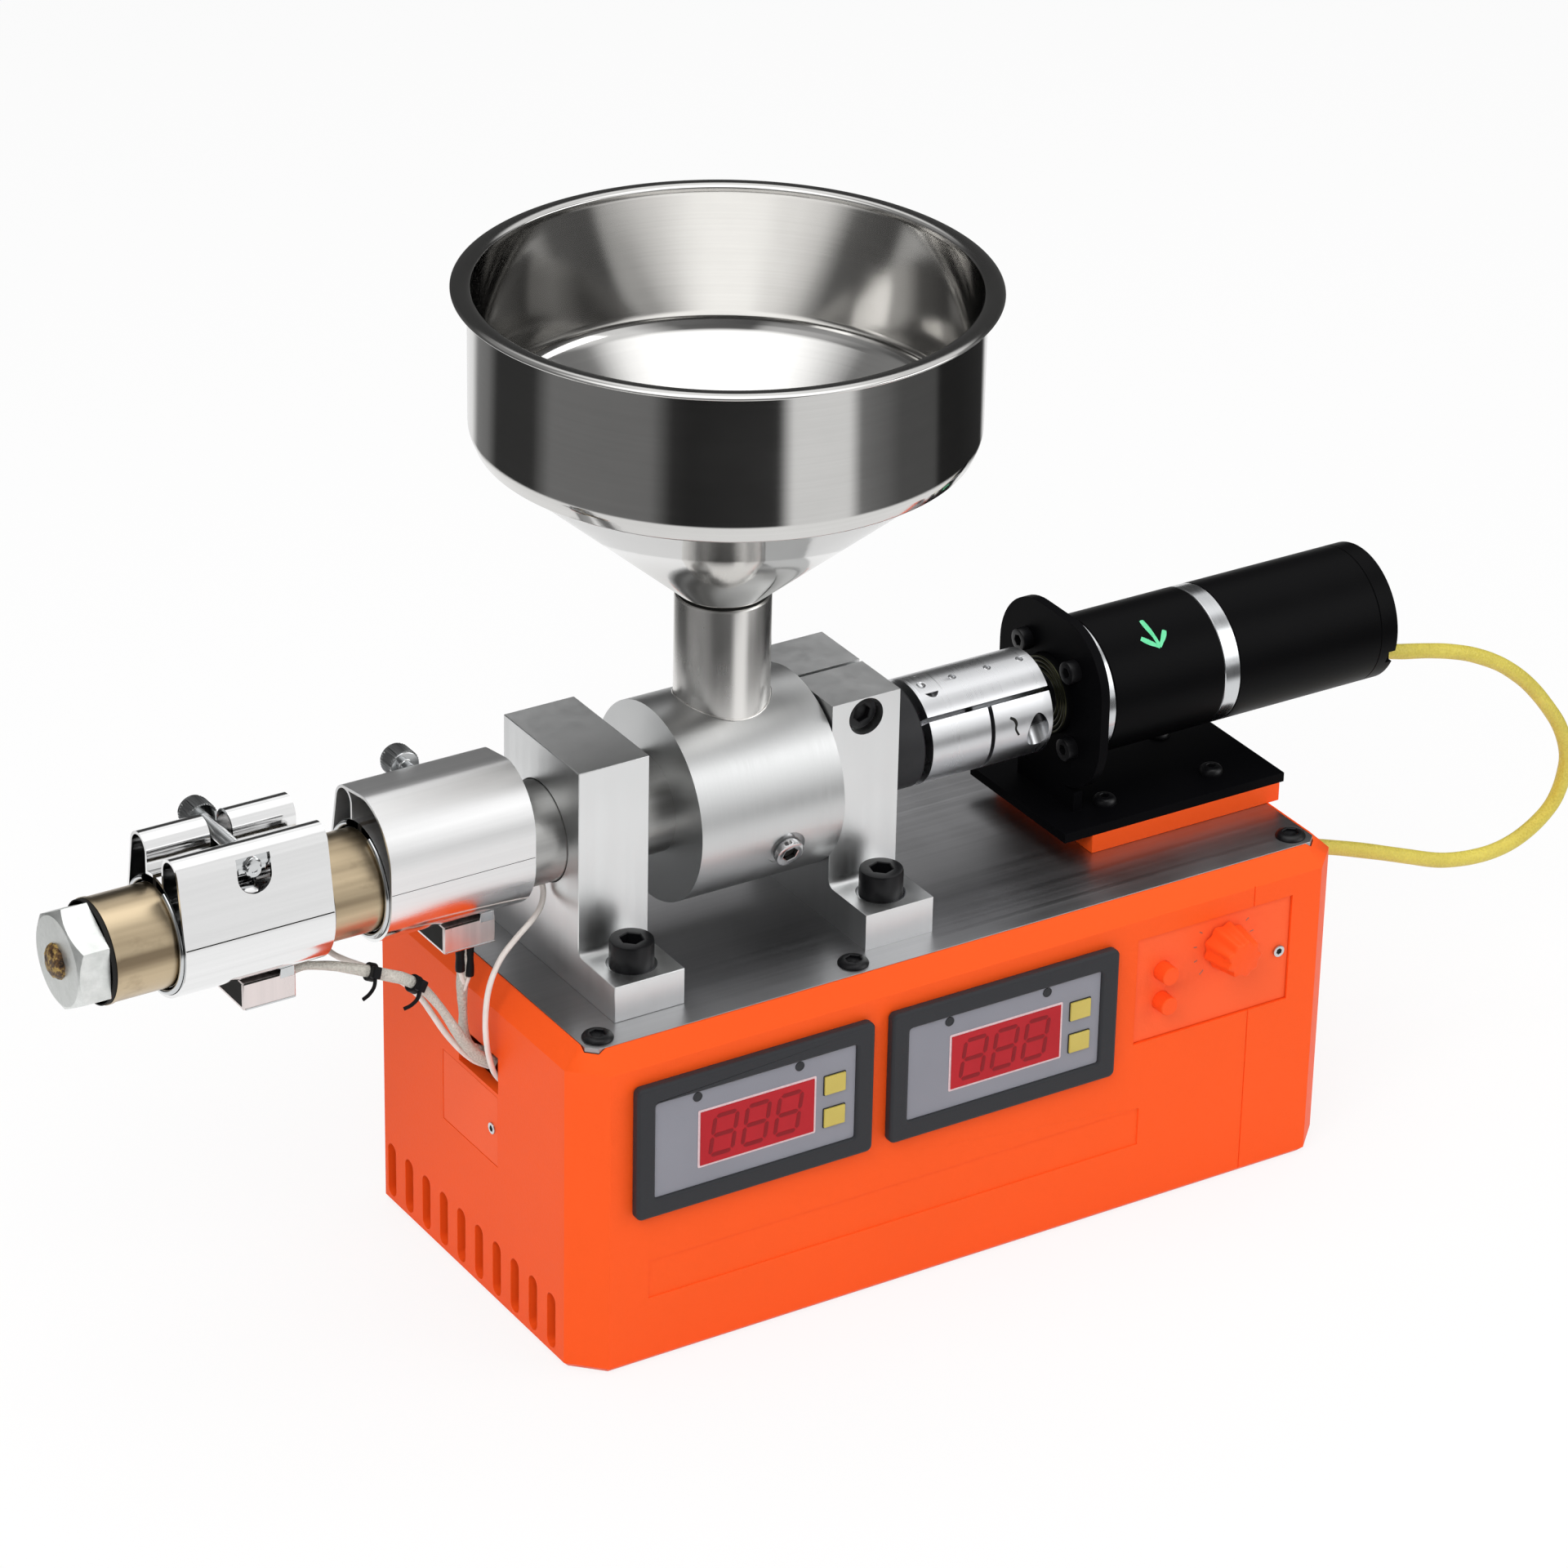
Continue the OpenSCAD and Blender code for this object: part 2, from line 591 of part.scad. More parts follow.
// The hopper's outline, from its spigot up to the rolled rim
cone_h = (bowl_d/2 - neck_d/2) / cone_slope;
module hopper() color("#c8c9ca")
    translate([hopper_x, axis_y, stem_z]) rotate_extrude($fn = 128) {
        r = bowl_d / 2;
        bend = bowl_round * tan((90 - atan(1 / cone_slope)) / 2);
        arc = [for (i = [0 : 8]) let (a = -i * (90 - atan(1 / cone_slope)) / 8)
               [r - bowl_round + bowl_round * cos(a), cone_h + bend + bowl_round * sin(a)]];
        arc_in = [for (i = [8 : -1 : 0]) let (a = -i * (90 - atan(1 / cone_slope)) / 8)
                  [r - bowl_round + (bowl_round - sheet_t) * cos(a),
                   cone_h + bend + (bowl_round - sheet_t) * sin(a)]];
        polygon(concat([[neck_d/2, 0]], [for (i = [8 : -1 : 0]) arc[i]],
                       [[r, cone_h + bowl_h], [r + rim_w, cone_h + bowl_h],
                        [r + rim_w, cone_h + bowl_h + 1.6], [r - sheet_t, cone_h + bowl_h + 1.6]],
                       [for (i = [8 : -1 : 0]) arc_in[i]],
                       [[stem_bore/2 - 1.2, sheet_t], [stem_bore/2 - 1.2, -10], [stem_bore/2, -10],
                        [stem_bore/2, 0]]));
    }

// Section of a heater band: a ring whose outer sheet leaves it on both sides and rolls over on top
module heater_section() {
    ring_r = barrel_d/2 + band_t;
    core_r = ring_r - skin_t;
    hollow_r = roll_r - skin_t;
    c = [roll_gap / 2, roll_up];
    lean = atan2(c[1], c[0]) - acos((ring_r - roll_r) / norm(c));
    difference() {
        polygon(concat(arc([0, 0], ring_r, 180 - lean, 360 + lean, 50), arc(c, roll_r, lean, 180, 20),
                       arc([0, 0], ring_r, acos((c[0] - roll_r) / ring_r), acos((roll_r - c[0]) / ring_r), 8),
                       arc([-c[0], c[1]], roll_r, 0, 180 - lean, 20)));
        circle(d = barrel_d, $fn = 128);
        for (side = [0, 1]) mirror([side, 0])
            polygon(concat(arc(c, hollow_r, lean, 180, 20),
                           arc([0, 0], core_r, acos((c[0] - hollow_r) / core_r), lean, 20)));
        translate([-1, 0]) square([2, big]);
    }
}
// Section of the feed heater: the same ring and back roll, but its front sheet rises over the clamp as a hood
module hooded_section() {
    ring_r = barrel_d/2 + band_t;
    core_r = ring_r - skin_t;
    hollow_r = roll_r - skin_t;
    c = [roll_gap / 2, roll_up];
    lean = atan2(c[1], c[0]) - acos((ring_r - roll_r) / norm(c));
    hood = [0, roll_up + roll_r - ring_r];
    wall = c[0] - roll_r;
    meet = acos((roll_r - skin_t) / roll_r);
    difference() {
        polygon(concat(arc([0, 0], ring_r, 180, 360 + lean, 50), arc(c, roll_r, lean, 90, 12),
                       arc(hood, ring_r, 90, 180, 24)));
        circle(d = barrel_d, $fn = 128);
        polygon(concat(arc(c, hollow_r, lean, 180, 20),
                       arc([0, 0], core_r, acos((c[0] - hollow_r) / core_r), lean, 20)));
        polygon(concat(arc([0, 0], core_r, 180, acos(wall / core_r), 30), arc(c, roll_r, 180, 90 + meet, 6),
                       arc(hood, core_r, 90, 180, 24)));
        translate([-1, 0]) square([2, core_r + 1]);
    }
}
// A section in Y and Z, pulled out along X from x
module pulled_along_x(x, l) translate([x, axis_y, axis_z]) rotate([90, 0, 90]) linear_extrude(l) children();

// A heater band round the barrel, with the cut-outs for its clamp screw
module heater_band(x) color("#d9dadb")
    difference() {
        pulled_along_x(x, band_l) heater_section();
        translate([x + band_l/2, axis_y, axis_z]) {
            translate([0, -roll_gap/2, roll_up - 3]) rotate([90, 0, 0]) cylinder(r = 5.2, h = 20, $fn = 48);
            translate([-5.2, -roll_gap/2 - 20, roll_up - 3]) cube([10.4, 20, 5.5]);
            translate([0, 0, roll_up]) rotate([90, 0, 0]) cylinder(d = 4.6, h = 16, $fn = 32);
            translate([-3.5, 0, barrel_d/2 + band_t + 0.5]) cube([7, 20, 20]);
        }
    }
// Barrel nut in front, its screw, and the knurled head behind
module heater_clamp(x, nut_y, nut_r) color("#cfd1d2") translate([x + band_l/2, axis_y, axis_z + roll_up]) {
    translate([-5, nut_y, 0]) rotate([0, 90, 0]) cylinder(r = nut_r, h = 10, $fn = 48);
    translate([0, roll_gap/2 + 9, 0]) rotate([90, 0, 0])
        cylinder(d = 4, h = roll_gap/2 + 9 - nut_y, $fn = 32);
    translate([0, roll_gap/2 + 13, 0]) rotate([90, 0, 0]) cylinder(d = 9, h = 7, $fn = 48);
}
module terminal_box(x) color("#c0b8b6")
    translate([x + 22, axis_y - box_w/2, axis_z - barrel_d/2 - band_t - box_h])
        cube([box_l, box_w, box_h]);

feed_band_x = band_x + band_pitch;
module nozzle_heater() heater_band(band_x);
module nozzle_heater_clamp() heater_clamp(band_x, -roll_gap/2, roll_r - skin_t - 0.1);
module nozzle_terminal_box() terminal_box(band_x);
module feed_heater() color("#d9dadb")
    difference() {
        pulled_along_x(feed_band_x, band_l) hooded_section();
        translate([feed_band_x + band_l/2, axis_y + 16, axis_z + roll_up])
            rotate([90, 0, 0]) cylinder(d = 4.6, h = 14, $fn = 32);
    }
module feed_heater_clamp() heater_clamp(feed_band_x, -4, 3);
module feed_terminal_box() terminal_box(feed_band_x);

// Motor, gearbox and what carries them
module motor_plinth() color(housing_color)
    difference() {
        translate([mount_x, axis_y - mount_w/2, body_h]) cube([plinth_l, mount_w, plinth_h]);
        for (p = mount_screws) translate([p[0], p[1], 0]) cylinder(d = 4.4, h = big, $fn = 32);
    }

// The flange's outline in Y and Z: a square with large corners on a narrower neck
module flange_section(foot_z) {
    h = flange_w/2 - flange_round;
    up = axis_z - flange_w/2;
    n = neck_w/2;
    polygon(concat([[-n, foot_z + mount_t - eps], [n, foot_z + mount_t - eps], [n, up]],
                   arc([h, axis_z - h], flange_round, -90, 0, 14),
                   arc([h, axis_z + h], flange_round, 0, 90, 14),
                   arc([-h, axis_z + h], flange_round, 90, 180, 14),
                   arc([-h, axis_z - h], flange_round, 180, 270, 14), [[-n, up]]));
}

module motor_bracket() color("#1d1d1e") {
    foot_z = body_h + plinth_h;
    difference() {
        union() {
            translate([mount_x - 10, axis_y - mount_w/2, foot_z]) cube([80, mount_w, mount_t]);
            translate([mount_x, axis_y, 0]) rotate([90, 0, 90]) linear_extrude(mount_t)
                flange_section(foot_z);
        }
        on_axis(mount_x - 1, 25, mount_t + 2);
        for (a = [45 : 90 : 315]) translate([mount_x - 1, axis_y + 18 * cos(a), axis_z + 18 * sin(a)])
            rotate([0, 90, 0]) cylinder(d = 4.4, h = mount_t + 2, $fn = 32);
        for (p = mount_screws) translate([p[0], p[1], 0]) cylinder(d = 4.4, h = big, $fn = 32);
    }
}

module gearbox() color("#202022")
    difference() {
        union() {
            on_axis(gear_x, gear_d - 2, gear_l);
            on_axis(gear_x + 6.6, gear_d, gear_l - 6.6);
            on_axis(mount_x - 2, 24.8, mount_t + 2);
        }
        on_axis(mount_x - 3, shaft_d + 2 * run_fit, 13);
    }
module motor_rings() color("#c9cacc") {
    difference() {
        on_axis(gear_x + 3, gear_d, 3.6);
        on_axis(gear_x + 2, gear_d - 2, 6);
    }
    on_axis(ring_x, gear_d, ring_l);
}
module motor_can() color("#1a1a1c") on_axis(can_x, gear_d, can_l - 6);
module motor_end_cap() color("#161617")
    difference() {
        on_axis(can_end - 6, gear_d, 6);
        for (a = [20, 200]) translate([can_end, axis_y + 21 * cos(a), axis_z + 21 * sin(a)])
            cube([5, 4, 4], center = true);
    }

// Leads: round sections swept along hand-set routes
function unit(v) = v / norm(v);
function way(p, i) = unit(p[min(i + 1, len(p) - 1)] - p[max(i - 1, 0)]);
function ring(p, i, r, n) =
    let (t = way(p, i), u = unit(cross(t, abs(t[1]) > 0.9 ? [1, 0, 0] : [0, 1, 0])), v = cross(t, u))
    [for (k = [0 : n - 1]) p[i] + r * (u * cos(360 * k / n) + v * sin(360 * k / n))];
module swept(p, d, n = 8) {
    rings = [for (i = [0 : len(p) - 1]) each ring(p, i, d / 2, n)];
    last = (len(p) - 1) * n;
    sides = [for (i = [0 : len(p) - 2]) for (k = [0 : n - 1])
             let (a = i * n + k, b = i * n + (k + 1) % n) [a, b, b + n, a + n]];
    polyhedron(rings, concat(sides, [[for (k = [n - 1 : -1 : 0]) k], [for (k = [0 : n - 1]) last + k]]));
}

nozzle_lead_route = [[-195, -8, 127], [-190, -8, 127], [-183, -10, 126], [-175, -12, 123.5],
    [-168, -13, 120.5], [-161, -13, 117], [-155, -13, 112], [-150, -13, 105], [-146, -13, 98],
    [-142, -12.8, 91], [-137, -11.7, 84.5], [-131, -10.7, 80]];
feed_lead_route = [[-139, -7, 120.8], [-139, -7, 116], [-139, -7, 110], [-139, -6.5, 104],
    [-138.5, -6, 97], [-138, -5.5, 90], [-136, -5, 84], [-131, -4, 80]];
nozzle_probe_route = [[-182, -2, 129.5], [-179, -5, 126], [-173, -7.5, 122.5], [-166, -8.5, 118.5],
    [-159, -9, 113], [-154, -9.5, 107], [-150, -9.5, 100], [-146, -9.5, 93], [-141, -9, 86],
    [-136, -8, 80.5], [-131, -7.5, 77]];
feed_probe_route = [[-114, -8.5, 133], [-114, -9.3, 130], [-116, -11.5, 127.5], [-120, -14, 125.5],
    [-126, -15.5, 122], [-132, -16.5, 117], [-136, -17.3, 110], [-137.5, -17.6, 102], [-137.5, -17.6, 94],
    [-135.8, -16.2, 86], [-133, -14.2, 79], [-130, -13, 74.5]];
motor_lead_d = 5;
motor_lead_y = -10;
motor_lead_z = 76;
motor_lead_route = [[can_end, -10, 134], [181, -10, 134], [190, -10, 131.8], [200, -10, 129.6],
    [210, -10, 126.8], [220, -10, 122.8], [230, -10, 117.2], [240, -10, 109], [248, -10, 100],
    [255, -10, 90], [259, -10, 80], [259, -10, 71], [255.5, -10, 62], [248, -10, 55.5],
    [238, -10, 51.3], [226, -10, 50.5], [213, -10, 52.5], [199, -10, 57.5], [185, -10, 63],
    [170, -10, 68.5], [155, -10, 73.2], [143, -10, 75.6], [body_l/2 - wall + 1, -10, motor_lead_z]];

module nozzle_heater_lead() color("#c9c6bf") swept(nozzle_lead_route, 3.4);
module feed_heater_lead() color("#c9c6bf") swept(feed_lead_route, 3.4);
module nozzle_probe_lead() color("#e8e6e0") swept(nozzle_probe_route, 1.8);
module feed_probe_lead() color("#e8e6e0") swept(feed_probe_route, 1.8);
module motor_lead() color("#e3c53a") swept(motor_lead_route, motor_lead_d, 10);

// Ties that sit tight round the nozzle heater's lead, in the middle of a straight stretch
module lead_ties() color("#18181a")
    for (i = [3, 5]) {
        a = nozzle_lead_route[i];
        way = nozzle_lead_route[i + 1] - a;
        translate(a + way / 2) rotate([0, acos(way[2] / norm(way)), atan2(way[1], way[0])])
            difference() {
                cylinder(d = 5.4, h = 2.4, center = true, $fn = 32);
                cylinder(d = 3.5, h = 4, center = true, $fn = 32);
            }
    }

housing();
base_plate();
top_plate();
side_cover();
control_panel();
knob();
upper_button();
lower_button();
left_controller_frame();
left_controller_face();
left_display();
left_keys();
right_controller_frame();
right_controller_face();
right_display();
right_keys();
barrel_bracket();
bearing_bracket();
feed_block();
bearing_sleeve();
barrel();
nozzle_cap();
outlet_plug();
auger();
coupling();
output_shaft();
hopper_stem();
hopper();
nozzle_heater();
nozzle_heater_clamp();
nozzle_terminal_box();
feed_heater();
feed_heater_clamp();
feed_terminal_box();
motor_plinth();
motor_bracket();
gearbox();
motor_rings();
motor_can();
motor_end_cap();
nozzle_heater_lead();
feed_heater_lead();
nozzle_probe_lead();
feed_probe_lead();
lead_ties();
motor_lead();
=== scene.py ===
import bpy, bmesh, json, math
from mathutils import Vector, Matrix, noise


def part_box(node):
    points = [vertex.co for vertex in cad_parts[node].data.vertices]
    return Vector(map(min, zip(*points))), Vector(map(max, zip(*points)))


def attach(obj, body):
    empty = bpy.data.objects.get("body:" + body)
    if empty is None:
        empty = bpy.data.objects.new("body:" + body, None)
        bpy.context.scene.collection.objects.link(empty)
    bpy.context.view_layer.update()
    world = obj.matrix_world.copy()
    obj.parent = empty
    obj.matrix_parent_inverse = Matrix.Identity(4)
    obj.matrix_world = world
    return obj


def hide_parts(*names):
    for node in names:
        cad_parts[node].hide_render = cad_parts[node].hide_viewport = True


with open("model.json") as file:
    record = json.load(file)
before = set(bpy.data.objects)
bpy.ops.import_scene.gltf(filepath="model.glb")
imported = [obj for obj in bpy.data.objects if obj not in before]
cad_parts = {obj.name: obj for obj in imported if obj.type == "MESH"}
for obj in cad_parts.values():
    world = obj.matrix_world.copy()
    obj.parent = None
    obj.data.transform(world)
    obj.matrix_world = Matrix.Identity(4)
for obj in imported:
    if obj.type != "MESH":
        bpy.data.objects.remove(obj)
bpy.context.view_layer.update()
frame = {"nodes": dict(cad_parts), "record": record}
print("frame loaded")

mm = 0.001
scene = bpy.context.scene
nodes = frame["nodes"]
axisX, axisY, axisZ = Vector((1, 0, 0)), Vector((0, 1, 0)), Vector((0, 0, 1))

shot = {
    "place": (-0.8690, -1.3281, 0.9667),
    "look": (0.47335, 0.74737, -0.46624),
    "roll": 0.021,
    "lens": 139.9,
}


def addCamera():
    look = Vector(shot["look"]).normalized()
    level = look.cross(axisZ).normalized()
    side = level * math.cos(shot["roll"]) + level.cross(look) * math.sin(shot["roll"])
    up = side.cross(look)
    data = bpy.data.cameras.new("camera")
    data.lens, data.sensor_width = shot["lens"], 36
    camera = bpy.data.objects.new("camera", data)
    turn = Matrix((side, up, -look)).transposed().to_4x4()
    camera.matrix_world = Matrix.Translation(shot["place"]) @ turn
    scene.collection.objects.link(camera)
    scene.camera = camera


addCamera()


class Wire:
    # one output socket that can be used in sums
    def __init__(self, look, socket):
        self.look, self.socket = look, socket

    def math(self, operation, first, second):
        return self.look.node("ShaderNodeMath", {"operation": operation}, {0: first, 1: second})

    def __add__(self, other):
        return self.math("ADD", self, other)

    def __radd__(self, other):
        return self.math("ADD", other, self)

    def __sub__(self, other):
        return self.math("SUBTRACT", self, other)

    def __rsub__(self, other):
        return self.math("SUBTRACT", other, self)

    def __mul__(self, other):
        return self.math("MULTIPLY", self, other)

    def __rmul__(self, other):
        return self.math("MULTIPLY", other, self)

    def __truediv__(self, other):
        return self.math("DIVIDE", self, other)

    def __rtruediv__(self, other):
        return self.math("DIVIDE", other, self)


def tone(text, amount=1):
    # a written colour such as "ff5522" as linear light, darker under 1 and lighter over 1
    parts = [int(text[i:i + 2], 16) / 255 for i in (0, 2, 4)]
    linear = [part / 12.92 if part < 0.04045 else ((part + 0.055) / 1.055) ** 2.4 for part in parts]
    return (*[min(1, part * amount) for part in linear], 1)


class Look:
    # a material, or another owner of a node tree, and its nodes
    def __init__(self, name, constants=None, owner=None):
        self.owner = owner or bpy.data.materials.new(name)
        self.owner.use_nodes = True
        self.tree = self.owner.node_tree
        if owner is None:
            self.shader = self.tree.nodes["Principled BSDF"]
            for key, value in (constants or {}).items():
                self.shader.inputs[key].default_value = value
            self.place = self.node("ShaderNodeTexCoord", out="Object")

    def node(self, kind, settings=None, sockets=None, out=0):
        made = self.tree.nodes.new(kind)
        for key, value in (settings or {}).items():
            if key == "stops":
                while len(made.color_ramp.elements) < len(value):
                    made.color_ramp.elements.new(0.5)
                for stop, (at, colour) in zip(made.color_ramp.elements, value):
                    stop.position = at
                    stop.color = colour if isinstance(colour, tuple) else (colour, colour, colour, 1)
            else:
                setattr(made, key, value)
        for key, value in (sockets or {}).items():
            self.join(made.inputs[key], value)
        return Wire(self, made.outputs[out])

    def join(self, socket, value):
        if isinstance(value, Wire):
            self.tree.links.new(value.socket, socket)
        else:
            socket.default_value = value

    def spot(self, scale):
        # scale is turns a metre, or turns along X, Y and Z
        scale = scale if isinstance(scale, tuple) else (scale,) * 3
        return self.node("ShaderNodeVectorMath", {"operation": "MULTIPLY"}, {0: self.place, 1: scale})

    def noise(self, scale, detail=2, rough=0.5):
        return self.node("ShaderNodeTexNoise", {},
                         {"Vector": self.spot(scale), "Scale": 1, "Detail": detail, "Roughness": rough})

    def cells(self, scale):
        return self.node("ShaderNodeTexVoronoi", {}, {"Vector": self.spot(scale), "Scale": 1}, out="Distance")

    def ramp(self, value, stops):
        return self.node("ShaderNodeValToRGB", {"stops": stops}, {0: value})

    def step(self, value, low, high):
        return self.ramp(value, [(low, 0.0), (high, 1.0)])

    def mix(self, first, second, amount):
        return self.node("ShaderNodeMix", {"data_type": "RGBA"}, {0: amount, 6: first, 7: second}, out=2)

    def axes(self):
        return [self.node("ShaderNodeSeparateXYZ", {}, {0: self.place}, out=i) for i in range(3)]

    def done(self, colour, rough, height=0, depth=0):
        # the finished material, with bumps depth metres deep for a height of 1
        feeds = {"Base Color": colour, "Roughness": rough}
        if depth:
            bump = {"Height": height, "Distance": depth, "Strength": 1}
            feeds["Normal"] = self.node("ShaderNodeBump", {}, bump)
        for name, value in feeds.items():
            self.join(self.shader.inputs[name], value)
        return self.owner


def moulded(name, colour, rough, grain):
    # satin moulded plastic: fine spark texture, faint flow clouds and scuffs
    look = Look(name, {"Specular IOR Level": 0.14})
    cloud, spark = look.noise((14, 14, 20), 3), look.noise(1500)
    scuff = look.step(look.noise((60, 60, 260), 4, 0.7), 0.62, 0.8)
    body = look.mix(tone(colour, 0.94), tone(colour, 1.03), cloud)
    return look.done(look.mix(body, tone(colour, 1.22), scuff * 0.12), rough + spark * 0.1 + scuff * 0.08,
                     spark + cloud * 2, grain)


def metal(name, colour, rough, fine, depth, spread):
    # worked metal: tool marks run where fine is small, with cloudy handling marks over them
    look = Look(name, {"Metallic": 1})
    marks, cloud = look.noise(fine, 3, 0.6), look.noise(45, 3)
    body = look.mix(tone(colour, 1 - spread), tone(colour, 1 + spread), marks * 0.7 + cloud * 0.3)
    return look.done(body, rough + (marks - 0.5) * rough * 0.5 + (cloud - 0.5) * rough * 0.4, marks, depth)


def painted(name, colour, rough, shine, metallic):
    # satin paint: fine orange peel and dust that dulls it in clouds
    look = Look(name, {"Metallic": metallic, "Specular IOR Level": shine})
    peel, dust = look.noise(700), look.noise(40, 4, 0.6)
    body = look.mix(tone(colour, 0.8), tone(colour, 1.25), dust)
    return look.done(body, rough + dust * 0.12, peel, 0.00002)


def clouded(name, first, second, size, detail, rough, spread, depth=0, grain=None, shine=0.5):
    # two tones in clouds, with a grain of its own where the surface has one
    look = Look(name, {"Specular IOR Level": shine})
    cloud = look.noise(size, detail)
    return look.done(look.mix(tone(first), tone(second), cloud), rough + cloud * spread,
                     look.noise(*grain) if grain else cloud, depth)


def woven(name, first, second, weave, soot, share, rough, depth):
    # a woven sleeve round wires, with soot or varnish in clouds
    look = Look(name)
    threads, cloud = look.cells(weave), look.noise(soot, 4, 0.6)
    body = look.mix(tone(first), tone(second), threads * share[0] + cloud * share[1])
    return look.done(body, rough + threads * 0.2, threads, depth)


def barrelTint(name):
    # straw heat tint that deepens in bands, drawn lengthwise
    look = Look(name, {"Metallic": 1})
    x = look.axes()[0]
    drawn = look.noise((6, 260, 260), 3, 0.6)
    streak = look.step(look.noise((3, 110, 110), 3), 0.36, 0.62)
    tint = look.mix(tone("80705a"), tone("cebb9c"), streak * 0.8 + drawn * 0.2)
    brown = look.step(look.noise((60, 90, 90), 4, 0.7), 0.55, 0.8)
    tint = look.mix(tint, tone("5c4a36"), brown * 0.4)
    cold = look.step((x + 0.126) / 0.004, 0.0, 1.0)
    return look.done(look.mix(tint, look.mix(tone("9c9b98"), tone("c4c4c3"), drawn), cold),
                     0.24 + drawn * 0.14 + brown * 0.1, drawn, 0.00002)


def blotchedZinc(name):
    # matt zinc with pale blotches
    look = Look(name, {"Metallic": 0.85})
    blotch, marks = look.step(look.noise(110, 5, 0.65), 0.35, 0.65), look.noise((60, 900, 900))
    return look.done(look.mix(tone("ced1ce"), tone("f2f4f2"), blotch), 0.34 + blotch * 0.16, marks + blotch,
                     0.00002)


def burntPlastic(name):
    look = Look(name)
    crust = look.noise(520, 5, 0.7)
    # the pale gold stop is partly the crust's own tone and partly painted glints
    colour = look.ramp(crust, [(0.32, tone("120b07")), (0.48, tone("5c4022")), (0.6, tone("b39550")),
                               (0.7, tone("2a1a10"))])
    return look.done(colour, 0.3 + crust * 0.4, crust, 0.0006)


def spunSheet(name):
    # polished sheet with spinning marks round the axis and faint handling haze
    look = Look(name, {"Metallic": 1})
    spun, haze = look.noise((10, 10, 1500)), look.noise((22, 22, 34), 4, 0.6)
    return look.done(look.mix(tone("c6c5c3"), tone("dedddb"), haze * 0.7 + spun * 0.3),
                     0.06 + haze * 0.05 + spun * 0.02, spun, 0.000003)


def rolledSheet(name):
    # bright rolled sheet, faintly buckled
    look = Look(name, {"Metallic": 1})
    rolled, buckle = look.noise((8, 500, 500)), look.noise((38, 60, 60))
    return look.done(look.mix(tone("e6e6e6"), tone("f4f4f4"), rolled), 0.06 + rolled * 0.04 + buckle * 0.04,
                     buckle * 8 + rolled * 0.05, 0.00003)


def brushedHood(name):
    # the same sheet where it was brushed dull along the hood
    look = Look(name, {"Metallic": 1})
    height = look.axes()[2]
    brushed = look.noise((4, 420, 420), 3, 0.6)
    high = look.step((height - (lineZ - 9 * mm)) / (8 * mm), 0.0, 1.0)
    return look.done(look.mix(tone("e8e8e8"), tone("fbfbfb"), brushed), 0.1 + brushed * 0.06 + high * 0.26,
                     brushed, 0.000004)


def printedFace(name):
    # printed membrane behind the frame
    look = Look(name)
    cloud, fine = look.noise(30, 3), look.noise(1800)
    return look.done(look.mix(tone("7d7e87"), tone("8a8b94"), cloud), 0.42 + fine * 0.1, fine, 0.00002)


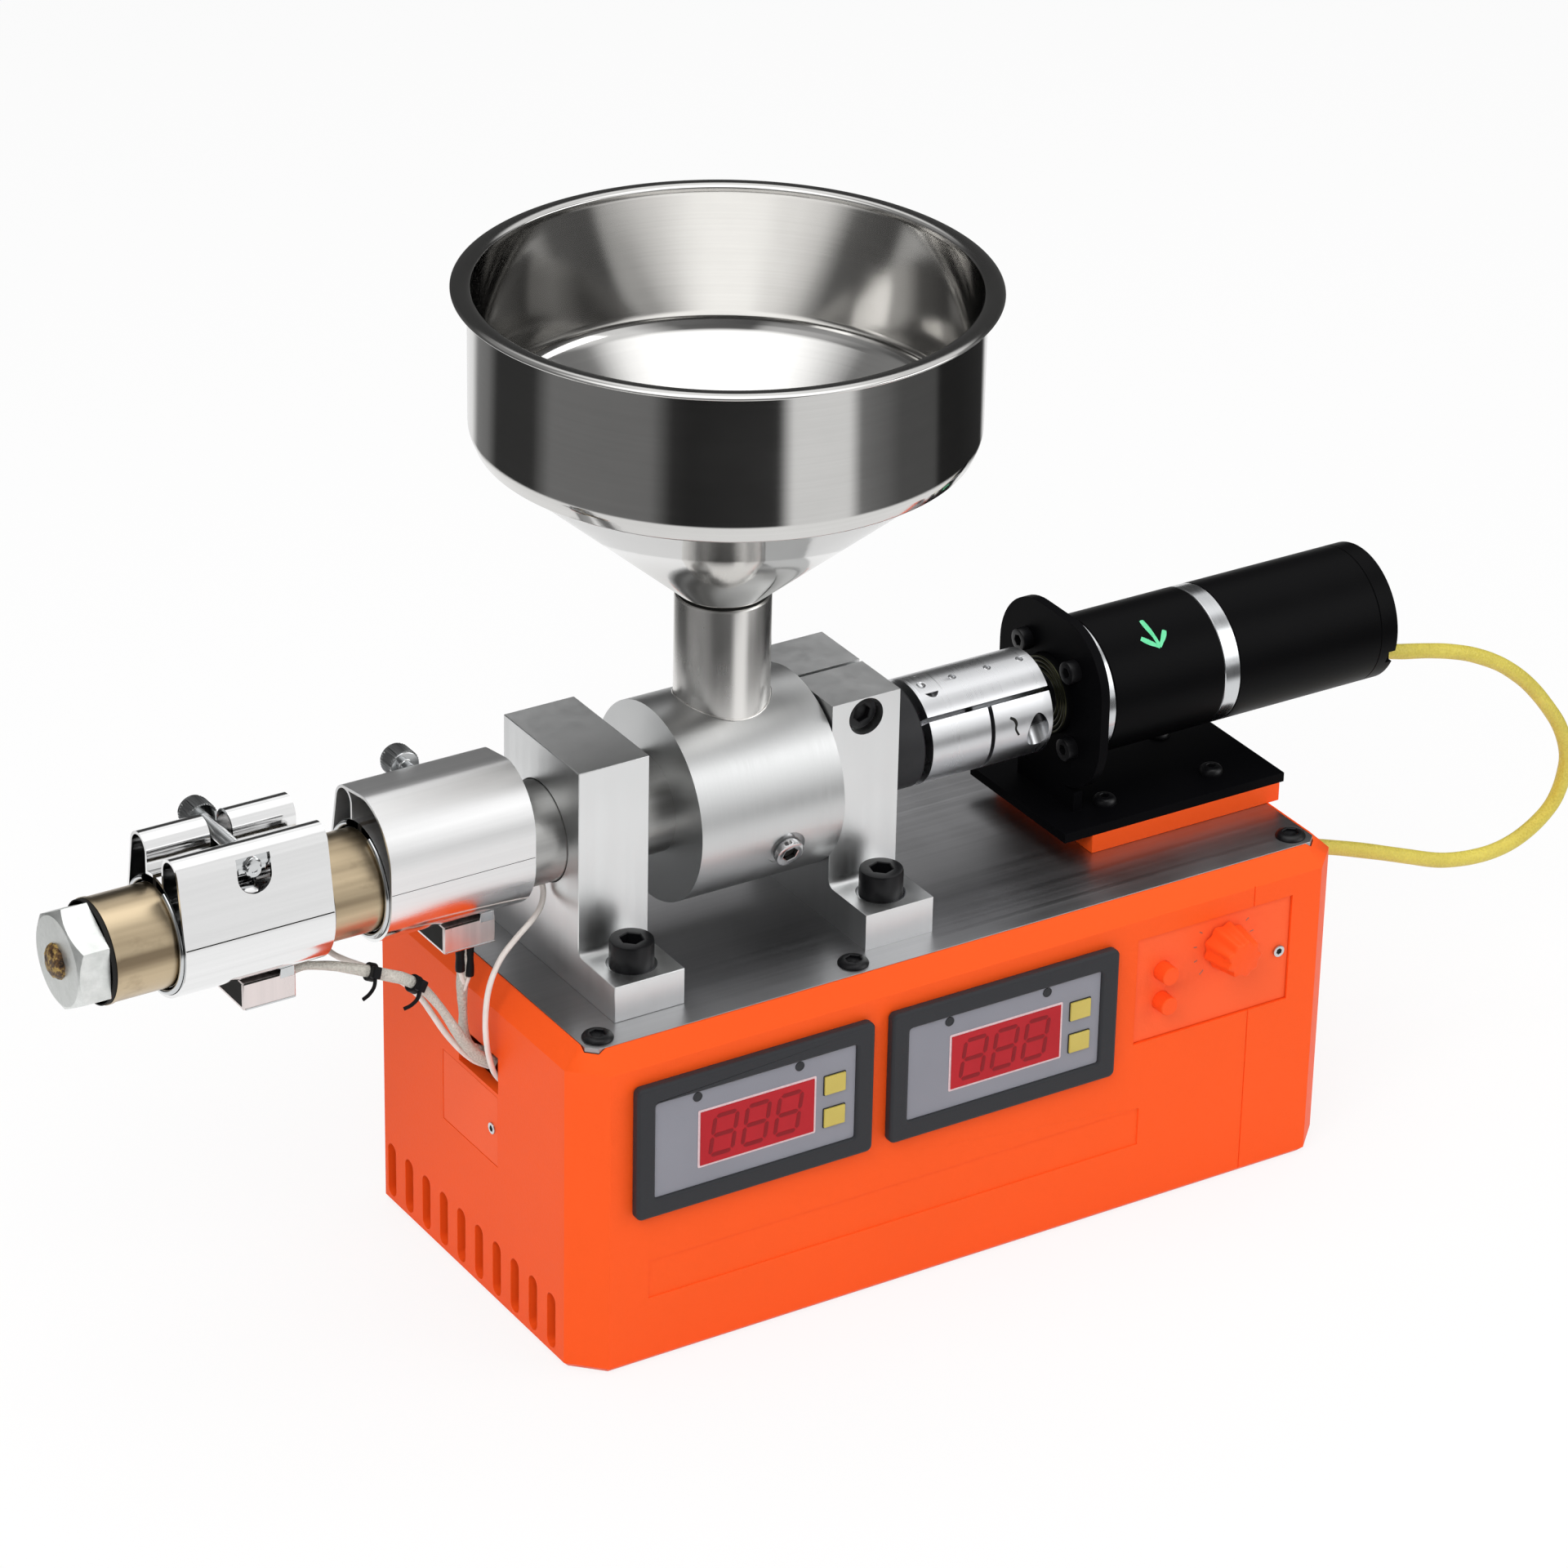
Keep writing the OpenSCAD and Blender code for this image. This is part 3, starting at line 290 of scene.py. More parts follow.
# how each finish is made
recipes = {
    moulded: {  # colour, roughness, depth of the grain
        "housing_orange": ("fb5a1d", 0.44, 0.00006),
        "cover_orange": ("fd6333", 0.46, 0.00006),
        "knob_orange": ("fd5822", 0.38, 0.00006),
        "frame_charcoal": ("323336", 0.4, 0.00004),
        "tie_black": ("131315", 0.4, 0.00005),
    },
    painted: {  # colour, roughness, shine, metallic
        "base_grey": ("39393b", 0.5, 0.25, 0),
        "sleeve_black": ("2a2a2c", 0.42, 0.25, 0),
        "motor_black": ("070708", 0.34, 0.05, 0),
        "bracket_black": ("09090b", 0.42, 0.03, 0),
        "screwBlack": ("131315", 0.28, 0.4, 0.3),
    },
    metal: {  # colour, roughness, tool marks a metre along X, Y and Z, their depth, spread of tone
        "plate_grey": ("b2b2b4", 0.38, (5, 900, 900), 0.000008, 0.2),
        "bracket_aluminium": ("e9eaea", 0.35, (260, 260, 14), 0.000008, 0.06),
        "feed_aluminium": ("d2d3d3", 0.36, (1100, 6, 6), 0.000008, 0.06),
        "coupling_aluminium": ("d9dadc", 0.3, (900, 6, 6), 0.0000015, 0.03),
        "auger_steel": ("98989b", 0.3, (700, 30, 30), 0.00002, 0.12),
        "shaft_steel": ("b5b7b9", 0.18, (1500, 6, 6), 0.00002, 0.12),
        "stem_steel": ("f2f0ed", 0.26, (160, 160, 12), 0.000006, 0.1),
        "clamp_steel": ("cfd1d2", 0.14, 300, 0.00002, 0.12),
        "box_steel": ("e6dcda", 0.3, (520, 520, 10), 0.00003, 0.16),
        "ring_silver": ("d0d2d4", 0.2, (1500, 8, 8), 0.00001, 0.08),
        "screwSilver": ("cfcfd0", 0.16, 900, 0.00002, 0.12),
        "bossBronze": ("4a4a38", 0.3, (900, 60, 60), 0.00001, 0.2),
    },
    clouded: {  # two colours, size and detail of the clouds, roughness and its spread, depth, grain, shine
        "display_red": ("a4131d", "b81d28", (45, 45, 60), 2, 0.2, 0.1, 0.00001, None, 0.2),
        "segmentRed": ("7c0b14", "8c111b", 300, 2, 0.25, 0.1, 0, None, 0.2),
        "key_yellow": ("b9a648", "cbb95e", 90, 3, 0.35, 0.15, 0.00002, (1500, 1)),
        "wire_white": ("d8cfc9", "f2ece6", 200, 3, 0.4, 0.15, 0.00004, (900, 2)),
        # painted shade set in gaps, hollows and sockets; also the ink of the coupling's real mark
        "gapDark": ("070708", "17150f", 200, 2, 0.7, 0.2),
        "markGreen": ("3ecb88", "7fe8b2", (900, 300, 300), 3, 0.4, 0.2, 0.00008),
        "inkPale": ("c9a9ae", "e8d3d6", 700, 3, 0.45, 0.1),
        "inkGrey": ("a85a44", "8d6a60", 900, 3, 0.45, 0.1),
    },
    woven: {  # two colours, threads a metre, size of the soot, their shares, roughness, depth
        "sleeve_white": ("a9a59c", "dedad1", 1700, (120, 120, 60), (0.6, 0.5), 0.6, 0.00025),
        "sleeve_yellow": ("b6a436", "e9da63", 1300, 60, (0.3, 0.7), 0.34, 0.0002),
    },
    barrelTint: {"barrel_bronze": ()},
    blotchedZinc: {"cap_zinc": ()},
    burntPlastic: {"plug_brown": ()},
    spunSheet: {"hopper_steel": ()},
    rolledSheet: {"heater_steel": ()},
    brushedHood: {"hoodSteel": ()},
    printedFace: {"face_grey": ()},
}
made = {}


def finished(name):
    # a finish is made once, when the first piece asks for it
    if name not in made:
        recipe, settings = next((recipe, rows[name]) for recipe, rows in recipes.items() if name in rows)
        made[name] = recipe(name, *settings)
    return made[name]


def meshOf(bm, name):
    bmesh.ops.recalc_face_normals(bm, faces=bm.faces)
    mesh = bpy.data.meshes.new(name)
    bm.to_mesh(mesh)
    bm.free()
    return mesh


def place(name, bm, finish, body="frame", stands=(), sharp=38):
    mesh = meshOf(bm, name)
    mesh.polygons.foreach_set("use_smooth", [True] * len(mesh.polygons))
    mesh.set_sharp_from_angle(angle=math.radians(sharp))
    mesh.materials.append(finished(finish))
    piece = bpy.data.objects.new(name, mesh)
    scene.collection.objects.link(piece)
    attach(piece, body)
    if stands:
        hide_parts(*stands)
    return piece


def softEdges(piece, width, segments=2):
    bevel = piece.modifiers.new("edges", "BEVEL")
    bevel.width, bevel.segments = width, segments
    bevel.limit_method, bevel.angle_limit = "ANGLE", math.radians(32)
    bevel.miter_outer = "MITER_ARC"
    even = piece.modifiers.new("even", "WEIGHTED_NORMAL")
    even.weight = 90
    even.keep_sharp = True
    return piece


slotOf = {part["node"]: part["material_slot"] for part in frame["record"]["subparts"]}
slotOf["motor_end_cap"] = "motor_black"  # painted as the can is
bodyOf = {node: body for body, inBody in frame["record"]["behaviour"]["bodies"].items() for node in inBody}


def solidOf(node):
    # the CAD solid with its facets joined
    bm = bmesh.new()
    bm.from_mesh(nodes[node].data)
    bmesh.ops.remove_doubles(bm, verts=bm.verts, dist=0.002 * mm)
    bmesh.ops.dissolve_limit(bm, angle_limit=math.radians(0.4), verts=bm.verts, edges=bm.edges)
    return bm


# how wide each solid's edges are broken, in mm
edges = {
    "housing": 0.5, "base_plate": 0.4, "top_plate": 0.35, "side_cover": 0.25, "motor_plinth": 0.7,
    **{side + part: width for side in ("left_", "right_") for part, width in (
        ("controller_frame", 0.9), ("controller_face", 0.1), ("display", 0.1), ("keys", 0.25))},
    "control_panel": 0.25, "upper_button": 0.5, "lower_button": 0.5,
    "barrel_bracket": 0.4, "bearing_bracket": 0.4, "feed_block": 0.5, "bearing_sleeve": 0.6, "barrel": 0.4,
    "nozzle_cap": 0.4, "auger": 0.1, "output_shaft": 0.3, "coupling": 0.25,
    "nozzle_heater_clamp": 0.4, "nozzle_terminal_box": 0.35,
    "feed_heater_clamp": 0.4, "feed_terminal_box": 0.35, "motor_bracket": 0.5, "gearbox": 0.4,
    "motor_rings": 0.3, "motor_can": 0.3, "motor_end_cap": 0.8,
    "lead_ties": 0.3,
}
finerEdges = ("left_controller_frame", "right_controller_frame", "upper_button", "lower_button")


def addSolids():
    # the CAD solids that keep their shape, with their edges broken
    for node, width in edges.items():
        piece = place(node + "_finished", solidOf(node), slotOf[node], bodyOf[node], stands=(node,), sharp=60)
        softEdges(piece, width * mm, 3 if node in finerEdges else 2)


def toward(direction):
    # a turn that takes +Z to this direction
    return Vector(direction).normalized().to_track_quat("Z", "Y").to_matrix().to_4x4()


def joinRows(bm, rows, closed=True):
    # faces between rows of points, which go all the way round where they are closed
    for first, second in zip(rows, rows[1:]):
        for i in range(len(first) if closed else len(first) - 1):
            j = (i + 1) % len(first)
            bm.faces.new((first[i], first[j], second[j], second[i]))


def ringed(rings, turns=48, start=(0, 0, 0), direction=(0, 0, 1), spin=0.0):
    # rings of (height, radius or a function of the angle), joined and closed at both ends
    bm = bmesh.new()
    rows = []
    for height, radius in rings:
        row = []
        for i in range(turns):
            angle = 2 * math.pi * i / turns
            r = radius(angle) if callable(radius) else radius
            row.append(bm.verts.new((r * math.cos(angle + spin), r * math.sin(angle + spin), height)))
        rows.append(row)
    joinRows(bm, rows)
    bm.faces.new(rows[0][::-1])
    bm.faces.new(rows[-1])
    bm.transform(Matrix.Translation(start) @ toward(direction))
    return bm


def inMm(*rows):
    # rows of numbers in mm, as metres
    return [tuple(value * mm for value in row) for row in rows]


def hexagon(flats):
    # radius of a hexagon with this width across its flats
    return lambda angle: flats / 2 / math.cos((angle % (math.pi / 3)) - math.pi / 6)


def ridged(radius, depth, count, power=2.0):
    # a round edge with count flutes cut into it
    return lambda angle: radius - depth * abs(math.sin(angle * count / 2)) ** power


def joined(parts):
    whole = bmesh.new()
    for part in parts:
        step = bpy.data.meshes.new("step")
        part.to_mesh(step)
        part.free()
        whole.from_mesh(step)
        bpy.data.meshes.remove(step)
    return whole


def cutPlate(outline, low, high, plane="XZ"):
    # a flat outline given thickness, from low to high across its plane
    bm = bmesh.new()
    spots = {"XZ": lambda a, b, c: (a, c, b), "XY": lambda a, b, c: (a, b, c),
             "YZ": lambda a, b, c: (c, a, b)}
    near = [bm.verts.new(spots[plane](a, b, low)) for a, b in outline]
    far = [bm.verts.new(spots[plane](a, b, high)) for a, b in outline]
    bm.faces.new(near)
    bm.faces.new(far[::-1])
    joinRows(bm, [near, far])
    return bm


def roundCorners(x0, z0, x1, z1, radius, steps=5):
    spots = []
    for cx, cz, turn in ((x1 - radius, z1 - radius, 0), (x0 + radius, z1 - radius, 90),
                         (x0 + radius, z0 + radius, 180), (x1 - radius, z0 + radius, 270)):
        for i in range(steps + 1):
            angle = math.radians(turn + 90 * i / steps)
            spots.append((cx + radius * math.cos(angle), cz + radius * math.sin(angle)))
    return spots


def smoothPath(points, steps=6):
    # a Catmull-Rom curve through the points
    spots = [Vector(p) for p in points]
    ends = [spots[0] * 2 - spots[1]] + spots + [spots[-1] * 2 - spots[-2]]
    path = []
    for a, b, c, d in zip(ends, ends[1:], ends[2:], ends[3:]):
        for i in range(steps):
            t = i / steps
            path.append(0.5 * (2 * b + (c - a) * t + (2 * a - 5 * b + 4 * c - d) * t * t
                               + (3 * b - a - 3 * c + d) * t ** 3))
    return path + [spots[-1]]


def tubeAlong(path, radius, turns=16):
    # radius is a number, or a function of the share of the way and the angle
    bm = bmesh.new()
    rows = []
    side = Vector((0.31, 0.95, 0.1))
    for i, spot in enumerate(path):
        way = (path[min(i + 1, len(path) - 1)] - path[max(i - 1, 0)]).normalized()
        side = (side - way * side.dot(way)).normalized()
        other = way.cross(side)
        row = []
        for k in range(turns):
            angle = 2 * math.pi * k / turns
            r = radius(i / (len(path) - 1), angle) if callable(radius) else radius
            row.append(bm.verts.new(spot + side * (r * math.cos(angle)) + other * (r * math.sin(angle))))
        rows.append(row)
    joinRows(bm, rows)
    bm.faces.new(rows[0][::-1])
    bm.faces.new(rows[-1])
    return bm


leads = {
    "nozzle_heater_lead": {
        "finish": "sleeve_white", "thick": 3.4 * mm, "stiffness": "medium", "pair": 0.34,
        "points": [(-195, -8, 127), (-190, -8, 127), (-183, -10, 126), (-175, -12, 123.5),
                   (-168, -13, 120.5), (-161, -13, 117), (-155, -13, 112), (-150, -13, 105),
                   (-146, -13, 98), (-142, -12.8, 91), (-137, -11.7, 84.5), (-131, -10.7, 80)],
    },
    "feed_heater_lead": {
        "finish": "sleeve_white", "thick": 3.4 * mm, "stiffness": "medium", "pair": 0.34,
        "points": [(-139, -7, 120.8), (-139, -7, 116), (-139, -7, 110), (-139, -6.5, 104),
                   (-138.5, -6, 97), (-138, -5.5, 90), (-136, -5, 84), (-131, -4, 80)],
    },
    "nozzle_probe_lead": {
        "finish": "wire_white", "thick": 1.8 * mm, "stiffness": "medium",
        "points": [(-182, -2, 129.5), (-179, -5, 126), (-173, -7.5, 122.5), (-166, -8.5, 118.5),
                   (-159, -9, 113), (-154, -9.5, 107), (-150, -9.5, 100), (-146, -9.5, 93),
                   (-141, -9, 86), (-136, -8, 80.5), (-131, -7.5, 77)],
    },
    "feed_probe_lead": {
        "finish": "wire_white", "thick": 1.8 * mm, "stiffness": "medium",
        "points": [(-114, -8.5, 133), (-114, -9.3, 130), (-116, -11.5, 127.5), (-120, -14, 125.5),
                   (-126, -15.5, 122), (-132, -16.5, 117), (-136, -17.3, 110), (-137.5, -17.6, 102),
                   (-137.5, -17.6, 94), (-135.8, -16.2, 86), (-133, -14.2, 79), (-130, -13, 74.5)],
    },
    "motor_lead": {
        "finish": "sleeve_yellow", "thick": 5 * mm, "stiffness": "medium",
        "points": [(175.2, -10, 134), (181, -10, 134), (190, -10, 131.8), (200, -10, 129.6),
                   (210, -10, 126.8), (220, -10, 122.8), (230, -10, 117.2), (240, -10, 109),
                   (248, -10, 100), (255, -10, 90), (259, -10, 80), (259, -10, 71),
                   (255.5, -10, 62), (248, -10, 55.5), (238, -10, 51.3), (226, -10, 50.5),
                   (213, -10, 52.5), (199, -10, 57.5), (185, -10, 63), (170, -10, 68.5),
                   (155, -10, 73.2), (143, -10, 75.6), (130.5, -10, 76)],
    },
}


shrink = {
    # black tubes over the two joints under the feed heater's terminal box, and the wires under them
    "reach": (0.2, 0.26), "apart": 1.5 * mm, "front": -1.1 * mm, "thick": 1.35 * mm, "wave": 0.081 * mm,
    "wire": 0.7 * mm, "spread": Vector((-0.45, 0.25, -1.6)) * mm,
}


def addShrinks(path):
    extras = []
    for i, (way, reach) in enumerate(zip((-1, 1), shrink["reach"])):
        part = [spot + Vector((shrink["apart"] * way, shrink["front"], 0))
                for spot in path[2:int(len(path) * reach) + 4]]
        tube = tubeAlong(part, lambda share, angle: shrink["thick"] + shrink["wave"] * math.sin(share * 9),
                         16)
        extras.append(place("shrink_%d" % i, tube, "tie_black", sharp=60))
        x, y, z = shrink["spread"]
        tail = part[-3:] + [part[-1] + Vector((x * way, y, z)) * k for k in (1, 2, 3)]
        wire = tubeAlong(smoothPath(tail, 4), shrink["wire"], 12)
        extras.append(place("shrink_wire_%d" % i, wire, "wire_white", sharp=60))
    return extras


def addLeads():
    for name, lead in leads.items():
        path = smoothPath([Vector(p) * mm for p in lead["points"]], 8)

        def wall(share, angle, radius=lead["thick"] / 2, seed=len(name), pair=lead.get("pair", 0)):
            # a sleeve is never quite round: it creases where it bends, and shows the pair of wires in it
            soft = noise.noise(Vector((share * 26 + seed, math.cos(angle), math.sin(angle))))
            waist = 1 - pair * math.sin(angle + 5 * share) ** 2
            return radius * (1 + pair * 0.4) * waist * (0.96 + 0.05 * soft)

        piece = place(name + "_laid", tubeAlong(path, wall, 20), lead["finish"], stands=(name,), sharp=70)
        long = sum((b - a).length for a, b in zip(path, path[1:]))
        extras = addShrinks(path) if name == "feed_heater_lead" else []


addLeads()
print("leads laid")

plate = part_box("top_plate")
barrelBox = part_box("barrel")
lineY = (barrelBox[0].y + barrelBox[1].y) / 2
lineZ = (barrelBox[0].z + barrelBox[1].z) / 2
barrelR = (barrelBox[1].y - barrelBox[0].y) / 2


def onLine(x, radius=0.0, angle=0.0):
    # a point round the barrel axis, with 90 at the top and 180 at the front
    a = math.radians(angle)
    return Vector((x, lineY + radius * math.cos(a), lineZ + radius * math.sin(a)))


def block(low, high):
    # a box between two corners
    return cutPlate([(low[0], low[1]), (high[0], low[1]), (high[0], high[1]), (low[0], high[1])], low[2],
                    high[2], "XY")


def turned(rings, centre, turns=128):
    # rings of (height, radius) round an upright axis, closed into a loop
    bm = bmesh.new()
    steps = [2 * math.pi * i / turns for i in range(turns)]
    rows = [[bm.verts.new((centre[0] + radius * math.cos(angle), centre[1] + radius * math.sin(angle),
                           height)) for angle in steps] for height, radius in rings]
    joinRows(bm, rows + rows[:1])
    return bm


def washer(x, inner, outer, thick, turns=96):
    # a flat ring round the barrel axis
    bm = turned([(0, inner), (0, outer), (thick, outer), (thick, inner)], (0, 0), turns)
    bm.transform(Matrix.Translation(onLine(x)) @ toward(axisX))
    return bm


screws = {
    "bracket": {"head": 13 * mm, "high": 8 * mm, "flats": 6 * mm},
    "plate": {"head": 9.2 * mm, "high": 1.5 * mm, "flats": 4.2 * mm, "domed": True},
    "mount": {"head": 7.4 * mm, "high": 2.2 * mm, "flats": 2.5 * mm, "domed": True},
    "flange": {"head": 7 * mm, "high": 3.4 * mm, "flats": 3 * mm},
    "clamp": {"head": 10 * mm, "high": 3.4 * mm, "flats": 5 * mm},
    "feed": {"head": 9 * mm, "high": 3.6 * mm, "flats": 4.4 * mm, "finish": "screwSilver"},
    "cover": {"head": 3.6 * mm, "high": 0.6 * mm, "flats": 1.7 * mm, "finish": "screwSilver"},
    "panel": {"head": 3.8 * mm, "high": 0.8 * mm, "flats": 1.8 * mm, "finish": "screwSilver"},
    "coupling": {"head": 6.6 * mm, "high": 2.4 * mm, "flats": 3 * mm},
    "rear": {"head": 5 * mm, "high": 1.8 * mm, "flats": 2.2 * mm, "domed": True, "finish": "screwSilver"},
}


def socketScrew(name, kind, spot, way, body="frame"):
    # a cap screw's head with its hexagonal socket, standing on spot and pointing along way
    screw = screws[kind]
    r, high, flats = screw["head"] / 2, screw["high"], screw["flats"]
    finish, floor = screw.get("finish", "screwBlack"), high * 0.4
    sides = [(0, r), (high - 0.12 * r, r), (high - 0.03 * r, r * 0.97), (high, r * 0.88)]
    if screw.get("domed"):
        sides = [(0, r), (high * 0.25, r), (high * 0.6, r * 0.93), (high * 0.88, r * 0.78), (high, r * 0.6)]
    rings = sides + [(high, hexagon(flats * 1.1)), (high - 0.04 * r, hexagon(flats)),
                     (floor, hexagon(flats)), (floor - 0.1 * r, 0.02 * r)]
    if finish == "screwSilver":
        # painted shade: silver screws get a dark plug in the socket for its shaded inside
        dark = [(floor, flats * 0.5), (high * 0.58, flats * 0.49), (high * 0.58, 0.02 * r)]
        place(name + "_socket", ringed(dark, 24, spot, way), "gapDark", body)
    place(name, ringed(rings, 48, spot, way, 0.3), finish, body, sharp=30)


fixings = {
    "footTall": 11.5 * mm, "boltInset": 10.25 * mm, "wornRing": 0.9 * mm, "plateInset": 6 * mm,
    "plateMiddle": -35 * mm, "mountAlong": (12 * mm, 51 * mm), "mountAcross": (-14 * mm, 14 * mm),
    "angleThick": 3 * mm, "flangeReach": 18 * mm, "flangeAngles": (45, 135, 225, 315),
    "clampFront": 15.5 * mm, "clampRise": 21.5 * mm, "feedAlong": 19.3 * mm, "feedReach": 28.8 * mm,
    "feedTilt": math.radians(20), "pocketInset": 5 * mm, "pocketReach": 11 * mm, "pocketDeep": 4 * mm,
    "pocketLean": math.radians(143.4), "pocketSeat": 2.4 * mm,
    "coverAt": (0.1 * mm, 3 * mm), "panelAt": (-3.5 * mm, 17 * mm),
}


def addBolts():
    # the brackets' bolts, each in a worn ring where its head has turned on the foot
    head, worn, level = screws["bracket"]["head"] / 2, fixings["wornRing"], plate[1].z + fixings["footTall"]
    rings = [(level, head), (level, head + worn), (level + 0.04 * mm, head + worn - 0.2 * mm),
             (level + 0.04 * mm, head)]
    for bracket in ("barrel_bracket", "bearing_bracket"):
        low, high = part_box(bracket)
        reach = (high.y - low.y) / 2 - fixings["boltInset"]
        for i, side in enumerate((-1, 1)):
            x, y = (low.x + high.x) / 2, lineY + side * reach
            socketScrew(bracket + "_bolt_%d" % i, "bracket", (x, y, level), axisZ)
            place(bracket + "_mark_%d" % i, turned(rings, (x, y), 64), "shaft_steel")


def addScrews():
    (low, high), inset, (near, far) = plate, fixings["plateInset"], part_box("motor_plinth")
    rows = {
        "plate": (axisZ, [(x, y, high.z) for x in (low.x + inset, fixings["plateMiddle"], high.x - inset)
                          for y in (low.y + inset, high.y - inset)]),
        "mount": (axisZ, [(near.x + x, lineY + y, far.z + fixings["angleThick"])
                          for x in fixings["mountAlong"] for y in fixings["mountAcross"]]),
        "flange": (-axisX, [onLine(near.x, fixings["flangeReach"], angle)
                            for angle in fixings["flangeAngles"]]),
    }
    for kind, (way, spots) in rows.items():
        for i, spot in enumerate(spots):
            socketScrew("%s_screw_%d" % (kind, i), kind, spot, way)
    low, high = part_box("bearing_bracket")
    spot = ((low.x + high.x) / 2, lineY - fixings["clampFront"], lineZ + fixings["clampRise"])
    socketScrew("clamp_screw", "clamp", spot, -axisY)
    way = Vector((0, -math.cos(fixings["feedTilt"]), -math.sin(fixings["feedTilt"])))
    spot = onLine(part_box("hopper_stem")[0].x + fixings["feedAlong"]) + way * fixings["feedReach"]
    socketScrew("feed_set_screw", "feed", spot, way)
    (low, high), (x, y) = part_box("side_cover"), fixings["coverAt"]
    socketScrew("cover_screw", "cover", (low.x + x, low.y + y, (low.z + high.z) / 2), -axisX)
    (low, high), (x, z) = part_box("control_panel"), fixings["panelAt"]
    socketScrew("panel_screw", "panel", (high.x + x, low.y, low.z + z), -axisY)


def addCouplingScrew():
    # the clamp screw in its pocket at the coupling's right end
    lean, seat = fixings["pocketLean"], fixings["pocketSeat"]
    along, out = Vector((0, math.cos(lean), math.sin(lean))), Vector((0, -math.sin(lean), math.cos(lean)))
    spot = onLine(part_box("coupling")[1].x - fixings["pocketInset"]) + along * fixings["pocketReach"]
    spot += out * fixings["pocketDeep"]
    # painted shade: a dark disc on the pocket's floor stands for the shade in the pocket
    rings = [(0, 3.7 * mm), (seat, 3.7 * mm), (seat + 0.1 * mm, 2 * mm)]
    place("coupling_seat_shade", ringed(rings, 48, spot, out), "gapDark", "spindle")
    socketScrew("coupling_screw", "coupling", spot + out * seat, out, "spindle")


bowl = {"sheet": 1.0 * mm, "bend": 9 * mm, "rimTall": 1.9 * mm, "rimWide": 4.8 * mm, "neck": 12.2 * mm,
        "spigot": 11 * mm, "spigotLong": 9 * mm, "slope": 1.16, "turns": 192}
stemTube = {"inner": 11 * mm, "chamfer": 0.6 * mm, "mouth": 0.3 * mm, "joint": 13.2 * mm}
weld = {"thick": 0.4 * mm, "ripple": 0.08 * mm}
skirt = {"top": 54.3 * mm, "soft": 7 * mm, "lean": math.radians(23), "long": 2.6 * mm, "tuck": 1.2 * mm}


def bend(centre, radius, first, last, count):
    # (height, radius) round a centre, from one lean of the wall to another
    leans = [first + (last - first) * i / count for i in range(count + 1)]
    return [(centre[0] - radius * math.sin(lean), centre[1] + radius * math.cos(lean)) for lean in leans]


def bowlOutline(foot, top, reach):
    # (height, radius) up the inner face, over the rolled rim and down the outside
    sheet, slope, neck = bowl["sheet"], bowl["slope"], bowl["neck"]
    wall = reach - bowl["rimWide"]
    lean = math.atan(slope)
    middle = (foot + (wall - neck) / slope + bowl["bend"] * math.tan(lean / 2), wall - bowl["bend"])
    inner = [(foot - bowl["spigotLong"], bowl["spigot"] - sheet), (foot, bowl["spigot"] - sheet),
             (foot + sheet * 1.4, neck - sheet * 0.6)] + bend(middle, bowl["bend"] - sheet, lean, 0, 12)
    half, tall = (bowl["rimWide"] + sheet) / 2, bowl["rimTall"] / 2
    rimR, level = wall - sheet + half, top - tall

    def roll(first, sweep, count, thin):
        angles = [math.radians(first + sweep * i / count) for i in range(count + 1)]
        return [(level + (tall - thin) * math.sin(angle), rimR + (half - thin) * math.cos(angle))
                for angle in angles]

    edge = roll(180, -235, 26, 0) + roll(-52, 190, 18, 0.5 * mm)
    # the wall ends in a short skirt that leans in and tucks under to the cone
    turn, tuck = skirt["lean"], skirt["tuck"]
    outer = bend((foot + skirt["top"], wall - skirt["soft"]), skirt["soft"], 0, turn, 8)
    height, radius = outer[-1]
    height, radius = height - skirt["long"] * math.cos(turn), radius - skirt["long"] * math.sin(turn)
    outer += bend((height + tuck * math.sin(turn), radius - tuck * math.cos(turn)), tuck, turn,
                  math.radians(80), 6)
    height = outer[-1][0] - 0.1 * mm
    outer += [(height, neck + slope * (height - foot)), (foot + 0.1 * mm, neck),
              (foot - bowl["spigotLong"], bowl["spigot"])]
    return inner + [(level - 2 * mm, wall - sheet)] + edge + [(level - 0.8 * mm, wall)] + outer


